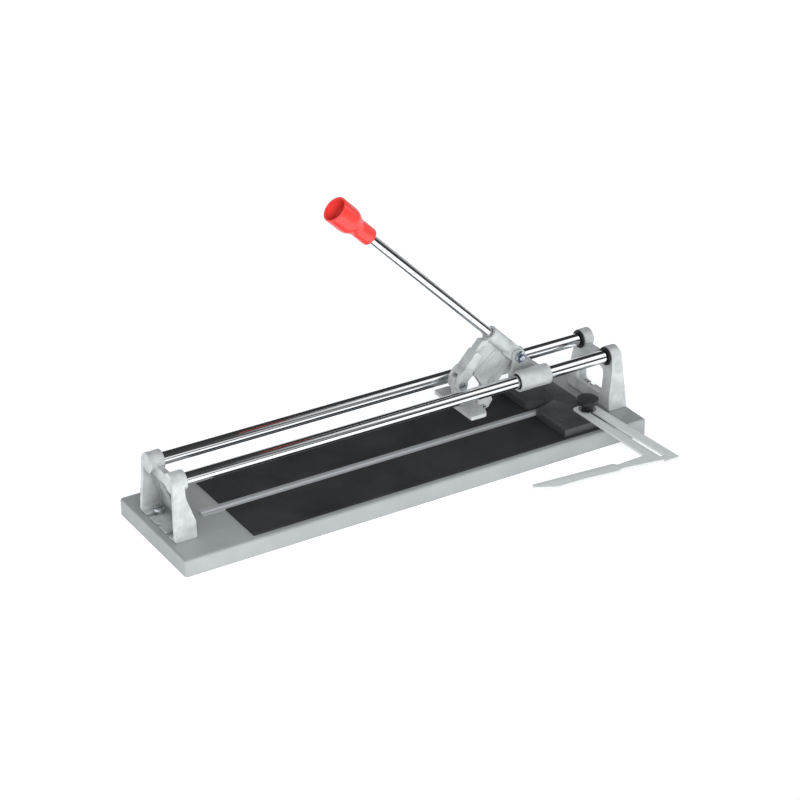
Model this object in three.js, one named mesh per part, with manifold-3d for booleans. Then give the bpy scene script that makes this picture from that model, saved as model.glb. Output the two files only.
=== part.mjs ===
// Manual tile cutter: a folded steel base with two chrome rails above it, and a carriage on the
// rails whose lever carries a scoring wheel and a breaker foot. A swivelling square sets the tile.
// Millimetres, +Z up. Origin: middle of the base, on the surface that it stands on. +X runs along
// the rails towards the measuring plate, and -Y is the side of the square.

import * as THREE from 'three';
import { mergeVertices } from 'three/addons/utils/BufferGeometryUtils.js';
import Module from 'manifold-3d';

const wasm = await Module();
wasm.setup();

// ---------------------------------------------------------------- driving dimensions

const GAP = 0.3;              // air between pieces that move, or that are fitted in one another
const ROUND_STEPS = 24;       // sides of a large round
const SMALL_STEPS = 16;       // sides of a screw or a small hole

const base = { length: 640, width: 170, height: 22, sheet: 1.5, bend: 3.5 };
const stiffener = { length: 380, halfWidth: 20, flange: 12 };

const rail = { radius: 8, halfSpacing: 28.6, height: 91.5 };

const pad = { thickness: 2.2, start: -228, inner: 8.2, outer: 77.5 };
const rib = { start: -257, end: 228, halfWidth: 7.6, strip: 1.2, ridgeHalf: 1.4, aboveBase: 2.8 };

// A support casting is described from its own end of the base: distances run inwards from there,
// and heights start at the top of the base.
const support = {
  footHalf: 46, wall: 4, cheek: 5, floor: 3, bossRadius: rail.radius + 4.4, bossCap: 3,
  screwY: 25.2, screwSlot: 4.4, sillHalf: 27.5, headHalf: 24, cavityTop: 53, notch: 4.2,
};
const leftEnd = {
  side: -1, footOuter: 7.5, footInner: 36.5, knee: 20.5, shoulder: 26, shoulderHeight: 53.7,
  topOuter: 12, beamOuter: 19, bossInner: 30.5, screwAt: 22.9,
  sill: 18.5, windowTop: 49, webTop: 68.5,
};
const rightEnd = {
  side: 1, footOuter: 1.5, footInner: 29, knee: 17, shoulder: 22.9, shoulderHeight: 54,
  topOuter: 9.5, beamOuter: 16, bossInner: 23, screwAt: 17.4,
  sill: 17.7, windowTop: 51, webTop: 68.5,
};

const supportScrew = { shank: 3, head: 6.9, headHeight: 6, slot: 1.6, nutFlats: 10, nutHeight: 5 };
const bufferRing = { wire: 1.75 };

const plate = {
  left: 204.5, right: 266, halfWidth: 75.3, thickness: 9.8, notchHalf: 11.5, notchDepth: 34.5,
  screwX: 240, screwY: 32, screwShank: 2.5, screwHead: 5, screwHeadHeight: 3.5,
};

const square = {
  turn: THREE.MathUtils.degToRad(3.1), thickness: 3, slotHalf: 3, slotInner: 3, slotOuter: -142,
};
const knob = {
  x: 255, y: -50, stud: 2, stem: 7.4, disc: 14, stemHeight: 8.2, discHeight: 7,
  washer: 11, washerThickness: 1, tongueLength: 6, lobes: 10, lobeDepth: 0.7,
};

const carriage = {
  left: 164, right: 208, sleeveRadius: rail.radius + 5, bushSeat: rail.radius + 2,
  bushLength: 12, bushRecess: 1.6,
  bridgeFrom: 188, bridgeBottom: 84.5, bridgeTop: 97.5, earInner: 7.5, earOuter: 12,
};

const pivot = { x: 178, z: 115.5, bolt: 4, earRadius: 8.4, nutFlats: 13, nutHeight: 6.6 };
const lever = {
  tilt: Math.PI / 4, neckHalf: 7, neckWide: 9.7, tubeFrom: 14, tubeTo: 52, tubeRadius: 10,
  boreFrom: 22, rodRadius: 6, rodEnd: 325, webHalf: 3.5, rimHalf: 5.5,
  ribHalf: 5, ribThick: 3, forkHalf: 10, forkEye: 8.7,
  shoulderHalf: 8.5, holderHalf: 6,
};
const grip = {
  from: 285, neck: 11, cup: 16.3, flareFrom: 311, flareTo: 325, rim: 349.4, floor: 329.5, wall: 2.6,
};

const wheel = { x: -49, z: -58.5, radius: 8, half: 1.5, axle: 2, head: 4.2, headHeight: 2.2 };
const footJoint = { x: -81, z: -19, pin: 3, head: 5.2, headHeight: 2.2, clearRadius: 14 };
const foot = {
  hub: 9, lugHalf: 4.5, wingLeft: -7.5, wingRight: 18, wingTop: -26.5, wingThick: 5, wingHalf: 42.5,
  cornerX: 4, cornerY: 8,
};

// ---------------------------------------------------------------- derived places

const padTop = base.height + pad.thickness;
const plateTop = padTop + plate.thickness;
const squareBottom = plateTop + GAP;
const squareTop = squareBottom + square.thickness;
const washerBottom = squareTop + GAP;
const knobBottom = washerBottom + knob.washerThickness + GAP;
const rodCos = Math.cos(lever.tilt);
const rodSin = Math.sin(lever.tilt);
const supportBossHeight = rail.height - base.height;

// ---------------------------------------------------------------- solids

// A closed three.js geometry as a solid that can be joined and cut.
function solid(geometry) {
  geometry.deleteAttribute('normal');
  geometry.deleteAttribute('uv');
  const merged = mergeVertices(geometry, 1e-4);
  const mesh = new wasm.Mesh({
    numProp: 3,
    vertProperties: new Float32Array(merged.attributes.position.array),
    triVerts: new Uint32Array(merged.index.array),
  });
  return new wasm.Manifold(mesh);
}

function geometryOf(body) {
  const mesh = body.getMesh();
  const geometry = new THREE.BufferGeometry();
  geometry.setAttribute('position', new THREE.BufferAttribute(mesh.vertProperties, 3));
  geometry.setIndex(new THREE.BufferAttribute(mesh.triVerts, 1));
  geometry.computeVertexNormals();
  return geometry;
}

function block(x0, x1, y0, y1, z0, z1) {
  const geometry = new THREE.BoxGeometry(x1 - x0, y1 - y0, z1 - z0);
  geometry.translate((x0 + x1) / 2, (y0 + y1) / 2, (z0 + z1) / 2);
  return solid(geometry);
}

// A round bar along one axis; a and b are its centre on the other two axes, in x, y, z order.
function bar(axis, a, b, radius, from, to, steps = ROUND_STEPS) {
  const geometry = new THREE.CylinderGeometry(radius, radius, to - from, steps);
  const middle = (from + to) / 2;
  if (axis === 'x') {
    geometry.rotateZ(-Math.PI / 2);
    geometry.translate(middle, a, b);
  } else if (axis === 'y') {
    geometry.translate(a, middle, b);
  } else {
    geometry.rotateX(Math.PI / 2);
    geometry.translate(a, b, middle);
  }
  return solid(geometry);
}

function prism(shape, depth, basis, offset) {
  const geometry = new THREE.ExtrudeGeometry(shape, { depth, bevelEnabled: false, curveSegments: 7 });
  geometry.applyMatrix4(basis);
  geometry.translate(offset.x, offset.y, offset.z);
  return solid(geometry);
}

// The shape lies in the plane Y-Z and is drawn out along X.
function prismX(shape, x0, x1) {
  const y = new THREE.Vector3(0, 1, 0);
  const z = new THREE.Vector3(0, 0, 1);
  const basis = new THREE.Matrix4().makeBasis(y, z, new THREE.Vector3(1, 0, 0));
  return prism(shape, x1 - x0, basis, new THREE.Vector3(x0, 0, 0));
}

// The shape lies in the plane X-Z and is drawn out along Y.
function prismY(shape, y0, y1) {
  const x = new THREE.Vector3(1, 0, 0);
  const z = new THREE.Vector3(0, 0, 1);
  const basis = new THREE.Matrix4().makeBasis(x, z, new THREE.Vector3(0, -1, 0));
  return prism(shape, y1 - y0, basis, new THREE.Vector3(0, y1, 0));
}

// The shape lies in the plane X-Y and is drawn out along Z.
function prismZ(shape, z0, z1) {
  return prism(shape, z1 - z0, new THREE.Matrix4(), new THREE.Vector3(0, 0, z0));
}

// A polygon with each corner eased over the given length.
function outline(points, ease = 0) {
  const shape = new THREE.Shape();
  const corners = points.map(([x, y]) => new THREE.Vector2(x, y));
  corners.forEach((corner, i) => {
    const before = corners[(i + corners.length - 1) % corners.length];
    const after = corners[(i + 1) % corners.length];
    const reach = Math.min(ease, before.distanceTo(corner) * 0.45, after.distanceTo(corner) * 0.45);
    const enter = corner.clone().add(before.clone().sub(corner).setLength(reach));
    const leave = corner.clone().add(after.clone().sub(corner).setLength(reach));
    if (i === 0) {
      shape.moveTo(enter.x, enter.y);
    } else {
      shape.lineTo(enter.x, enter.y);
    }
    if (reach > 0) {
      shape.quadraticCurveTo(corner.x, corner.y, leave.x, leave.y);
    }
  });
  shape.closePath();
  return shape;
}

function hexagon(flats) {
  const corner = flats / 2 / Math.cos(Math.PI / 6);
  const points = [];
  for (let i = 0; i < 6; i += 1) {
    points.push([corner * Math.cos(i * Math.PI / 3), corner * Math.sin(i * Math.PI / 3)]);
  }
  return outline(points);
}

// A turned body about the Z axis from [radius, height] pairs.
function turned(profile, steps = ROUND_STEPS) {
  const geometry = new THREE.LatheGeometry(profile.map(([r, h]) => new THREE.Vector2(r, h)), steps);
  geometry.rotateX(Math.PI / 2);
  return solid(geometry);
}

// ---------------------------------------------------------------- scene helpers

const finishes = {
  greyPaint: { color: 0x9a9c9e, roughness: 0.55, metalness: 0.2 },
  blasted: { color: 0xc9cbcc, roughness: 0.6, metalness: 0.8 },
  chrome: { color: 0xe8eaec, roughness: 0.08, metalness: 1 },
  zinc: { color: 0xc4c6c8, roughness: 0.3, metalness: 1 },
  rubber: { color: 0x2c2d2e, roughness: 0.9, metalness: 0 },
  darkPlate: { color: 0x55585a, roughness: 0.6, metalness: 0.3 },
  aluminium: { color: 0xb4b6b8, roughness: 0.4, metalness: 1 },
  arm: { color: 0xb2b5b7, roughness: 0.5, metalness: 0.6 },
  carbide: { color: 0x8a8c90, roughness: 0.2, metalness: 1 },
  brass: { color: 0xb08d4a, roughness: 0.35, metalness: 1 },
  blackPlastic: { color: 0x1c1d1e, roughness: 0.5, metalness: 0 },
  redPlastic: { color: 0xe04a34, roughness: 0.25, metalness: 0 },
};

const tileCutter = new THREE.Group();

function addNode(name, body, finish, parent = tileCutter) {
  const material = new THREE.MeshStandardMaterial(finishes[finish]);
  const node = new THREE.Mesh(geometryOf(body), material);
  node.name = name;
  parent.add(node);
  return node;
}

// ---------------------------------------------------------------- base

// A tray folded down on all four sides, as the meeting of two profiles with rounded bends.
function trayBlock(length, width, height, bend) {
  const profile = (span) => {
    const half = span / 2;
    const shape = new THREE.Shape();
    shape.moveTo(-half, 0);
    shape.lineTo(half, 0);
    shape.lineTo(half, height - bend);
    shape.absarc(half - bend, height - bend, bend, 0, Math.PI / 2, false);
    shape.lineTo(bend - half, height);
    shape.absarc(bend - half, height - bend, bend, Math.PI / 2, Math.PI, false);
    shape.closePath();
    return shape;
  };
  const along = prismX(profile(width), -length / 2, length / 2);
  return along.intersect(prismY(profile(length), -width / 2, width / 2));
}

function supportScrewPlaces() {
  const places = [];
  for (const [end, endName] of [[leftEnd, 'left'], [rightEnd, 'right']]) {
    for (const [y, rowName] of [[-support.screwY, 'front'], [support.screwY, 'rear']]) {
      const x = end.side * (base.length / 2 - end.screwAt);
      places.push({ x, y, name: `${endName}_${rowName}` });
    }
  }
  return places;
}

function plateScrewPlaces() {
  return [
    { x: plate.screwX, y: -plate.screwY, name: 'front' },
    { x: plate.screwX, y: plate.screwY, name: 'rear' },
  ];
}

function baseTray() {
  const { length, width, height, sheet, bend } = base;
  const outer = trayBlock(length, width, height, bend);
  const inner = trayBlock(length - 2 * sheet, width - 2 * sheet, height - sheet, bend - sheet);
  const openBelow = block(-length / 2 + sheet, length / 2 - sheet, -width / 2 + sheet,
    width / 2 - sheet, -1, 1);
  let tray = outer.subtract(inner).subtract(openBelow);
  for (const { x, y } of supportScrewPlaces()) {
    tray = tray.subtract(bar('z', x, y, supportScrew.shank + GAP, 0, height + 1, SMALL_STEPS));
  }
  for (const { x, y } of plateScrewPlaces()) {
    tray = tray.subtract(bar('z', x, y, plate.screwShank + GAP, 0, height + 1, SMALL_STEPS));
  }
  return tray;
}

// A hat section under the tray. Its web is flush with the lower edge of the tray.
function centreStiffener() {
  const top = base.height - base.sheet;
  const { halfWidth, flange, length } = stiffener;
  const wide = halfWidth + flange;
  const hat = outline([
    [-halfWidth, 0], [halfWidth, 0], [halfWidth, top - base.sheet], [wide, top - base.sheet],
    [wide, top], [halfWidth - base.sheet, top], [halfWidth - base.sheet, base.sheet],
    [base.sheet - halfWidth, base.sheet], [base.sheet - halfWidth, top], [-wide, top],
    [-wide, top - base.sheet], [-halfWidth, top - base.sheet],
  ]);
  return prismX(hat, -length / 2, length / 2);
}

function supportPad(side) {
  const y0 = side > 0 ? pad.inner : -pad.outer;
  const y1 = side > 0 ? pad.outer : -pad.inner;
  let sheet = block(pad.start, plate.right - 1, y0, y1, base.height, padTop);
  for (const { x, y } of plateScrewPlaces()) {
    sheet = sheet.subtract(bar('z', x, y, plate.screwShank + GAP, 0, padTop + 1, SMALL_STEPS));
  }
  return sheet;
}

function breakerRib() {
  const { halfWidth, strip, ridgeHalf, aboveBase, start, end } = rib;
  const low = base.height + strip;
  const high = base.height + aboveBase;
  const section = outline([
    [-halfWidth, base.height], [halfWidth, base.height], [halfWidth, low], [2 * ridgeHalf, low],
    [ridgeHalf, high], [-ridgeHalf, high], [-2 * ridgeHalf, low], [-halfWidth, low],
  ]);
  return prismX(section, start, end);
}

// ---------------------------------------------------------------- supports

// Front view of a support: two legs, two bosses and a flat web between them.
function supportFront(end) {
  const shape = new THREE.Shape();
  const { footHalf, bossRadius } = support;
  const bossY = rail.halfSpacing;
  const turn = Math.PI - Math.asin((end.webTop - supportBossHeight) / bossRadius);
  shape.moveTo(-footHalf, 0);
  shape.lineTo(footHalf, 0);
  shape.lineTo(bossY + bossRadius, supportBossHeight);
  shape.absarc(bossY, supportBossHeight, bossRadius, 0, turn, false);
  shape.absarc(-bossY, supportBossHeight, bossRadius, Math.PI - turn, Math.PI, false);
  shape.closePath();
  return shape;
}

// Side view, with the end of the base at 0.
function supportSide(end) {
  const top = supportBossHeight + support.bossRadius + 1;
  return outline([
    [end.footOuter, 0], [end.footInner, 0], [end.footInner, end.knee],
    [end.shoulder, end.shoulderHeight], [end.shoulder, top], [end.topOuter, top],
  ]);
}

// The hollow follows the inner line one wall further out, and above its top only takes the
// outer part, so that a beam is left between the bosses.
function supportHollow(end) {
  const { footHalf, wall, cheek, floor, cavityTop, bossRadius } = support;
  const reach = base.length / 2;
  const top = supportBossHeight + bossRadius + 1;
  const narrow = rail.halfSpacing + bossRadius - cheek;
  const front = outline([
    [cheek - footHalf, floor], [footHalf - cheek, floor], [narrow, cavityTop], [-narrow, cavityTop],
  ], 5);
  const side = outline([
    [-reach, floor], [end.footInner - wall, floor], [end.footInner - wall, end.knee],
    [end.shoulder - wall, end.shoulderHeight], [end.shoulder - wall, top], [-reach, top],
  ]);
  const lower = prismX(front, -reach, reach).intersect(prismY(side, -footHalf, footHalf));
  const upper = outline([
    [narrow + 1, cavityTop / 2], [narrow, top], [-narrow, top], [-narrow - 1, cavityTop / 2],
  ]);
  return lower.add(prismX(upper, -reach, end.beamOuter));
}

function supportCasting(end) {
  const { footHalf, floor, bossRadius, bossCap, screwSlot, notch } = support;
  const reach = base.length / 2;
  const side = prismY(supportSide(end), -footHalf, footHalf);
  let body = prismX(supportFront(end), -reach, reach).intersect(side);
  const bossY = rail.halfSpacing;
  const windowShape = outline([
    [-support.sillHalf, end.sill], [support.sillHalf, end.sill],
    [support.headHalf, end.windowTop], [-support.headHalf, end.windowTop],
  ], 8);
  body = body.subtract(supportHollow(end)).subtract(prismX(windowShape, 0, reach));
  for (const y of [-bossY, bossY]) {
    body = body.add(bar('x', y, supportBossHeight, bossRadius, end.topOuter, end.bossInner));
    const bore = rail.radius + GAP;
    body = body.subtract(bar('x', y, supportBossHeight, bore, end.topOuter + bossCap, reach));
  }
  for (const y of [-support.screwY, support.screwY]) {
    const slotEnd = bar('z', end.screwAt, y, screwSlot, -1, floor + 1, SMALL_STEPS);
    const slot = outline([
      [-1, y - screwSlot], [end.screwAt, y - screwSlot], [end.screwAt, y + screwSlot], [-1, y + screwSlot],
    ]);
    body = body.subtract(slotEnd).subtract(prismZ(slot, -1, floor + 1));
  }
  return body.subtract(bar('z', end.footOuter, 0, notch, -1, floor + 1, SMALL_STEPS));
}

// Turns the casting round to its own end of the base and sets it on the tray.
function placedSupport(end) {
  const move = new THREE.Matrix4().makeTranslation(end.side * base.length / 2, 0, base.height);
  const turn = new THREE.Matrix4().makeRotationZ(end.side > 0 ? Math.PI : 0);
  const geometry = geometryOf(supportCasting(end));
  geometry.applyMatrix4(turn);
  geometry.applyMatrix4(move);
  return solid(geometry);
}

// A pan head screw standing on z = 0, its shank pointing down.
function panScrew(shank, head, headHeight, length, slot) {
  const ease = headHeight * 0.3;
  const body = turned([
    [0, -length], [shank, -length], [shank, 0], [head, 0], [head, headHeight - ease],
    [head - ease, headHeight], [0, headHeight],
  ], SMALL_STEPS);
  if (slot === 0) {
    return body;
  }
  return body.subtract(block(-head, head, -slot / 2, slot / 2, headHeight / 2, headHeight + 1));
}

function hexNut(flats, height, bore) {
  return prismZ(hexagon(flats), 0, height).subtract(bar('z', 0, 0, bore, -1, height + 1, SMALL_STEPS));
}

// ---------------------------------------------------------------- rails and rings

function guideRail(y) {
  const from = leftEnd.topOuter + support.bossCap + GAP - base.length / 2;
  const to = base.length / 2 - rightEnd.topOuter - support.bossCap - GAP;
  return bar('x', y, rail.height, rail.radius, from, to);
}

// A rubber ring on the rail, against the boss of the right support.
function bufferRingBody(y) {
  const centre = rail.radius + GAP + bufferRing.wire;
  const profile = [];
  const steps = 8;
  for (let i = 0; i <= steps; i += 1) {
    const angle = 2 * Math.PI * (i % steps) / steps;
    profile.push([centre + bufferRing.wire * Math.cos(angle), bufferRing.wire * Math.sin(angle)]);
  }
  const ring = geometryOf(turned(profile));
  ring.rotateY(Math.PI / 2);
  const face = base.length / 2 - rightEnd.bossInner;
  ring.translate(face - bufferRing.wire, y, rail.height);
  return solid(ring);
}

// ---------------------------------------------------------------- measuring plate and square

function measuringPlate() {
  const { left, right, halfWidth, notchHalf, notchDepth } = plate;
  const shape = outline([
    [left, -halfWidth], [right, -halfWidth], [right, halfWidth], [left, halfWidth],
    [left, notchHalf], [left + notchDepth, 0], [left, -notchHalf],
  ]);
  let body = prismZ(shape, padTop, plateTop);
  for (const { x, y } of plateScrewPlaces()) {
    const hole = plate.screwShank + GAP;
    body = body.subtract(bar('z', x, y, hole, 0, plateTop - plate.thickness / 3, SMALL_STEPS));
  }
  const socket = plateTop - plate.thickness * 0.7;
  return body.subtract(bar('z', knob.x, knob.y, knob.stud + GAP, socket, plateTop + 1, SMALL_STEPS));
}

function clampStud() {
  const bottom = plateTop - plate.thickness * 0.7;
  return bar('z', knob.x, knob.y, knob.stud, bottom, knobBottom + knob.stemHeight, SMALL_STEPS);
}

// The square is drawn about its stud, with its slot along Y, and turned on the stud afterwards.
function squareArm() {
  const shape = outline([
    [-12.3, 13.5], [14.2, 13.5], [15.1, 1], [16.1, -157], [-5.5, -156.5], [-3.7, -153],
    [-36, -145.8], [-57.7, -141], [-66.3, -143], [-110, -135], [-148, -131.5], [-170, -117.3],
    [-169.3, -110.6], [-60, -125.7], [-58.2, -130.6], [-17.1, -131.3],
  ], 2);
  const { slotHalf, slotInner, slotOuter, thickness } = square;
  const slot = new THREE.Path();
  slot.absarc(0, slotInner, slotHalf, 0, Math.PI, false);
  slot.absarc(0, slotOuter, slotHalf, Math.PI, 2 * Math.PI, false);
  slot.closePath();
  shape.holes.push(slot);
  return prismZ(shape, 0, thickness);
}

// A round washer whose tongue runs in the slot of the square.
function clampWasher() {
  const half = square.slotHalf - GAP;
  const reach = knob.tongueLength / 2;
  const disc = bar('z', 0, 0, knob.washer, 0, knob.washerThickness);
  const tongue = block(-half, half, -reach, reach, -square.thickness * 0.8, knob.washerThickness / 2);
  const hole = bar('z', 0, 0, knob.stud + GAP, -square.thickness - 1, knob.washerThickness + 1,
    SMALL_STEPS);
  return disc.add(tongue).subtract(hole);
}

function clampKnob() {
  const { stem, disc, stemHeight, discHeight, lobes, lobeDepth, stud } = knob;
  const shape = new THREE.Shape();
  const steps = lobes * 4;
  for (let i = 0; i < steps; i += 1) {
    const angle = 2 * Math.PI * i / steps;
    const radius = stem - lobeDepth * (1 + Math.cos(lobes * angle)) / 2;
    const move = i === 0 ? 'moveTo' : 'lineTo';
    shape[move](radius * Math.cos(angle), radius * Math.sin(angle));
  }
  shape.closePath();
  const ease = discHeight / 4;
  const top = stemHeight + discHeight;
  const head = turned([
    [0, stemHeight], [disc - ease, stemHeight], [disc, stemHeight + ease], [disc, top - ease],
    [disc - ease, top], [0, top],
  ]);
  const bore = bar('z', 0, 0, stud + GAP, -1, stemHeight + GAP, SMALL_STEPS);
  return prismZ(shape, 0, stemHeight + ease).add(head).subtract(bore);
}

// ---------------------------------------------------------------- carriage

function carriageCasting() {
  const { left, right, sleeveRadius, bushSeat, bushLength, bushRecess } = carriage;
  const { earInner, earOuter, bridgeFrom, bridgeBottom, bridgeTop } = carriage;
  const bossY = rail.halfSpacing;
  let body = block(bridgeFrom, right - 1, -bossY, bossY, bridgeBottom, bridgeTop);
  for (const side of [-1, 1]) {
    const y = side * bossY;
    const inner = side * earInner;
    const outer = side * earOuter;
    body = body.add(bar('x', y, rail.height, sleeveRadius, left, right));
    body = body.add(block(left + 1, right - 1, Math.min(y, inner), Math.max(y, inner),
      bridgeBottom, bridgeTop));
    const ear = outline([
      [left + 2, bridgeBottom], [right - 1, bridgeBottom], [right - 1, bridgeTop - 4],
      [right - 6, bridgeTop], [pivot.x + 8.5, pivot.z - 5.5], [pivot.x + 3.5, pivot.z + 7.3],
      [pivot.x - 3.5, pivot.z + 7.4], [pivot.x - 7, pivot.z + 1], [left + 2, bridgeBottom + 5.5],
    ], 4);
    body = body.add(prismY(ear, Math.min(inner, outer), Math.max(inner, outer)));
    const disc = bar('y', pivot.x, pivot.z, pivot.earRadius, Math.min(inner, outer),
      Math.max(inner, outer));
    body = body.add(disc);
  }
  const depth = bushLength + bushRecess;
  for (const y of [-bossY, bossY]) {
    body = body.subtract(bar('x', y, rail.height, bushSeat - 1, left - 1, right + 1));
    body = body.subtract(bar('x', y, rail.height, bushSeat, left - 1, left + depth));
    body = body.subtract(bar('x', y, rail.height, bushSeat, right - depth, right + 1));
  }
  return body.subtract(bar('y', pivot.x, pivot.z, pivot.bolt + GAP, -earOuter - 1, earOuter + 1,
    SMALL_STEPS));
}

function slideBush(y, x0) {
  const { bushSeat, bushLength } = carriage;
  const sleeve = bar('x', y, rail.height, bushSeat - GAP, x0, x0 + bushLength);
  return sleeve.subtract(bar('x', y, rail.height, rail.radius + GAP, x0 - 1, x0 + bushLength + 1));
}

// A bolt across the ears: its head at +Y, its end standing out of the nut at -Y.
function pivotBolt() {
  const { bolt, nutHeight, nutFlats } = pivot;
  const ear = carriage.earOuter;
  const headThick = bolt * 1.3;
  const shank = bar('y', 0, 0, bolt, -ear - nutHeight - 1.4, ear + headThick / 2, SMALL_STEPS);
  return shank.add(prismY(hexagon(nutFlats), ear, ear + headThick));
}

// A self-locking nut: a hexagon with a round collar, bored for the bolt.
function pivotNut() {
  const { nutFlats, nutHeight, bolt } = pivot;
  const face = -carriage.earOuter;
  const collar = nutFlats * 0.44;
  const hexHeight = nutHeight * 0.72;
  const hex = prismY(hexagon(nutFlats), face - hexHeight, face);
  const ring = bar('y', 0, 0, collar, face - nutHeight, face - hexHeight / 2);
  return hex.add(ring).subtract(bar('y', 0, 0, bolt + GAP, face - nutHeight - 1, face + 1, SMALL_STEPS));
}

// ---------------------------------------------------------------- lever

// A point at a distance along the rod from the pivot, and a distance above the rod.
function onRod(along, above) {
  return [-along * rodCos + above * rodSin, along * rodSin + above * rodCos];
}

// Lays a body that stands on the Z axis along the axis of the rod.
function onRodAxis(geometry) {
  geometry.rotateY(-lever.tilt);
  return geometry;
}

function ribBar(from, to) {
  const a = new THREE.Vector2(...from);
  const b = new THREE.Vector2(...to);
  const side = b.clone().sub(a).setLength(lever.ribThick / 2);
  const n = new THREE.Vector2(-side.y, side.x);
  return outline([
    [a.x + n.x, a.y + n.y], [b.x + n.x, b.y + n.y], [b.x - n.x, b.y - n.y], [a.x - n.x, a.y - n.y],
  ]);
}

function leverCasting() {
  const { neckHalf, neckWide, tubeFrom, tubeTo, tubeRadius, webHalf, rimHalf } = lever;
  const across = (shape, half) => prismY(shape, -half, half);
  const neck = outline([
    onRod(0, neckWide), onRod(tubeFrom + 6, neckWide), onRod(tubeFrom + 6, -neckWide),
    onRod(0, -neckWide),
  ]);
  const web = outline([
    onRod(tubeFrom, 0), onRod(tubeTo - 3, -4), [-48.5, 29], [-77, -2], [-72, -12],
    [-62, -8], [-57.4, -15.5], [-48.7, -30.9], [-55, -50], [-36, -50], [-26, -32], [-6, -8],
  ]);
  const rim = outline([
    onRod(tubeTo - 3, -8), [-49.5, 31.4], [-78.2, -0.4], [-81, -8], [-74, -6], [-48, 24],
    [-43, 22],
  ], 1);
  const fork = outline([
    [-88.5, -12], [-84, -4], [-76, 2], [-68, -1], [-65, -9], [-73, -15.5], [-74.5, -24],
    [-81, -27.5], [-88, -24],
  ], 3);
  const shoulder = outline([[-87, -10], [-59, 20.5], [-52, 13], [-66, -9]], 2);
  const holder = outline([
    [-56, -46], [-38, -44], [-34.3, -52.1], [-41, -61.5], [-53, -62.5], [-57, -57],
  ], 2);
  let body = across(neck, neckHalf);
  body = body.add(bar('y', 0, 0, neckWide, -neckHalf, neckHalf));
  body = body.add(solid(onRodAxis(turnedBar(tubeRadius, tubeFrom, tubeTo))));
  body = body.add(across(web, webHalf)).add(across(rim, rimHalf));
  body = body.add(across(ribBar([-30, 12.5], [-62, -13.5]), lever.ribHalf));
  body = body.add(across(ribBar([-14, -3.5], [-39, -29.5]), lever.ribHalf));
  body = body.add(across(fork, lever.forkHalf)).add(across(holder, lever.holderHalf));
  body = body.add(across(shoulder, lever.shoulderHalf));
  body = body.add(bar('y', footJoint.x, footJoint.z, lever.forkEye, -lever.forkHalf, lever.forkHalf));
  const forkSlot = foot.lugHalf + GAP + 0.2;
  body = body.subtract(bar('y', footJoint.x, footJoint.z, footJoint.clearRadius, -forkSlot, forkSlot));
  const wheelSlot = wheel.half + GAP + 0.1;
  body = body.subtract(bar('y', wheel.x, wheel.z, wheel.radius + 1, -wheelSlot, wheelSlot));
  const wide = lever.forkHalf + 1;
  body = body.subtract(bar('y', footJoint.x, footJoint.z, footJoint.pin + GAP, -wide, wide, SMALL_STEPS));
  body = body.subtract(bar('y', wheel.x, wheel.z, wheel.axle + GAP, -wide, wide, SMALL_STEPS));
  body = body.subtract(bar('y', 0, 0, pivot.bolt + GAP, -wide, wide, SMALL_STEPS));
  const bore = solid(onRodAxis(turnedBar(lever.rodRadius + GAP, lever.boreFrom, tubeTo + 5)));
  return body.subtract(bore);
}

// A bar that stands on the Z axis before it is laid on the axis of the rod.
function turnedBar(radius, from, to) {
  const geometry = new THREE.CylinderGeometry(radius, radius, to - from, ROUND_STEPS);
  geometry.rotateX(Math.PI / 2);
  geometry.translate(0, 0, (from + to) / 2);
  return geometry;
}

// A bell shaped grip with an open cup at its end.
function leverGrip() {
  const { from, neck, cup, flareFrom, flareTo, rim, floor, wall } = grip;
  const bore = lever.rodRadius + GAP;
  const profile = [
    [0, lever.rodEnd + GAP], [bore, lever.rodEnd + GAP], [bore, from], [neck - 1.6, from],
    [neck, from + 2], [neck, flareFrom],
    [neck + (cup - neck) * 0.35, flareFrom + (flareTo - flareFrom) * 0.35],
    [neck + (cup - neck) * 0.85, flareFrom + (flareTo - flareFrom) * 0.7],
    [cup, flareTo], [cup, rim - 3], [cup - 0.8, rim - 0.8], [cup - wall / 2, rim],
    [cup - wall, rim - 0.8], [cup - wall, floor + 5], [cup - wall - 2, floor + 1], [0, floor],
  ];
  return solid(onRodAxis(geometryOf(turned(profile))));
}

// ---------------------------------------------------------------- scoring wheel and breaker foot

function scoringWheel() {
  const hub = wheel.radius * 0.45;
  const bore = wheel.axle + GAP;
  const { radius, half } = wheel;
  const disc = turned([
    [bore, -half], [hub, -half], [radius - 0.05, -0.1], [radius - 0.05, 0.1], [hub, half],
    [bore, half], [bore, -half],
  ]);
  const geometry = geometryOf(disc);
  geometry.rotateX(Math.PI / 2);
  geometry.translate(wheel.x, 0, wheel.z);
  return solid(geometry);
}

// A slotted pin across the lever: its head at -Y.
function crossPin(place, shank, head, headHeight, half, farEnd) {
  const geometry = geometryOf(panScrew(shank, head, headHeight, 2 * half + farEnd, 1.2));
  geometry.rotateX(Math.PI / 2);
  geometry.translate(place.x, -half, place.z);
  return solid(geometry);
}

function pinNut(place, flats, height, bore, half) {
  const geometry = geometryOf(hexNut(flats, height, bore + GAP));
  geometry.rotateX(-Math.PI / 2);
  geometry.translate(place.x, half, place.z);
  return solid(geometry);
}

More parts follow.
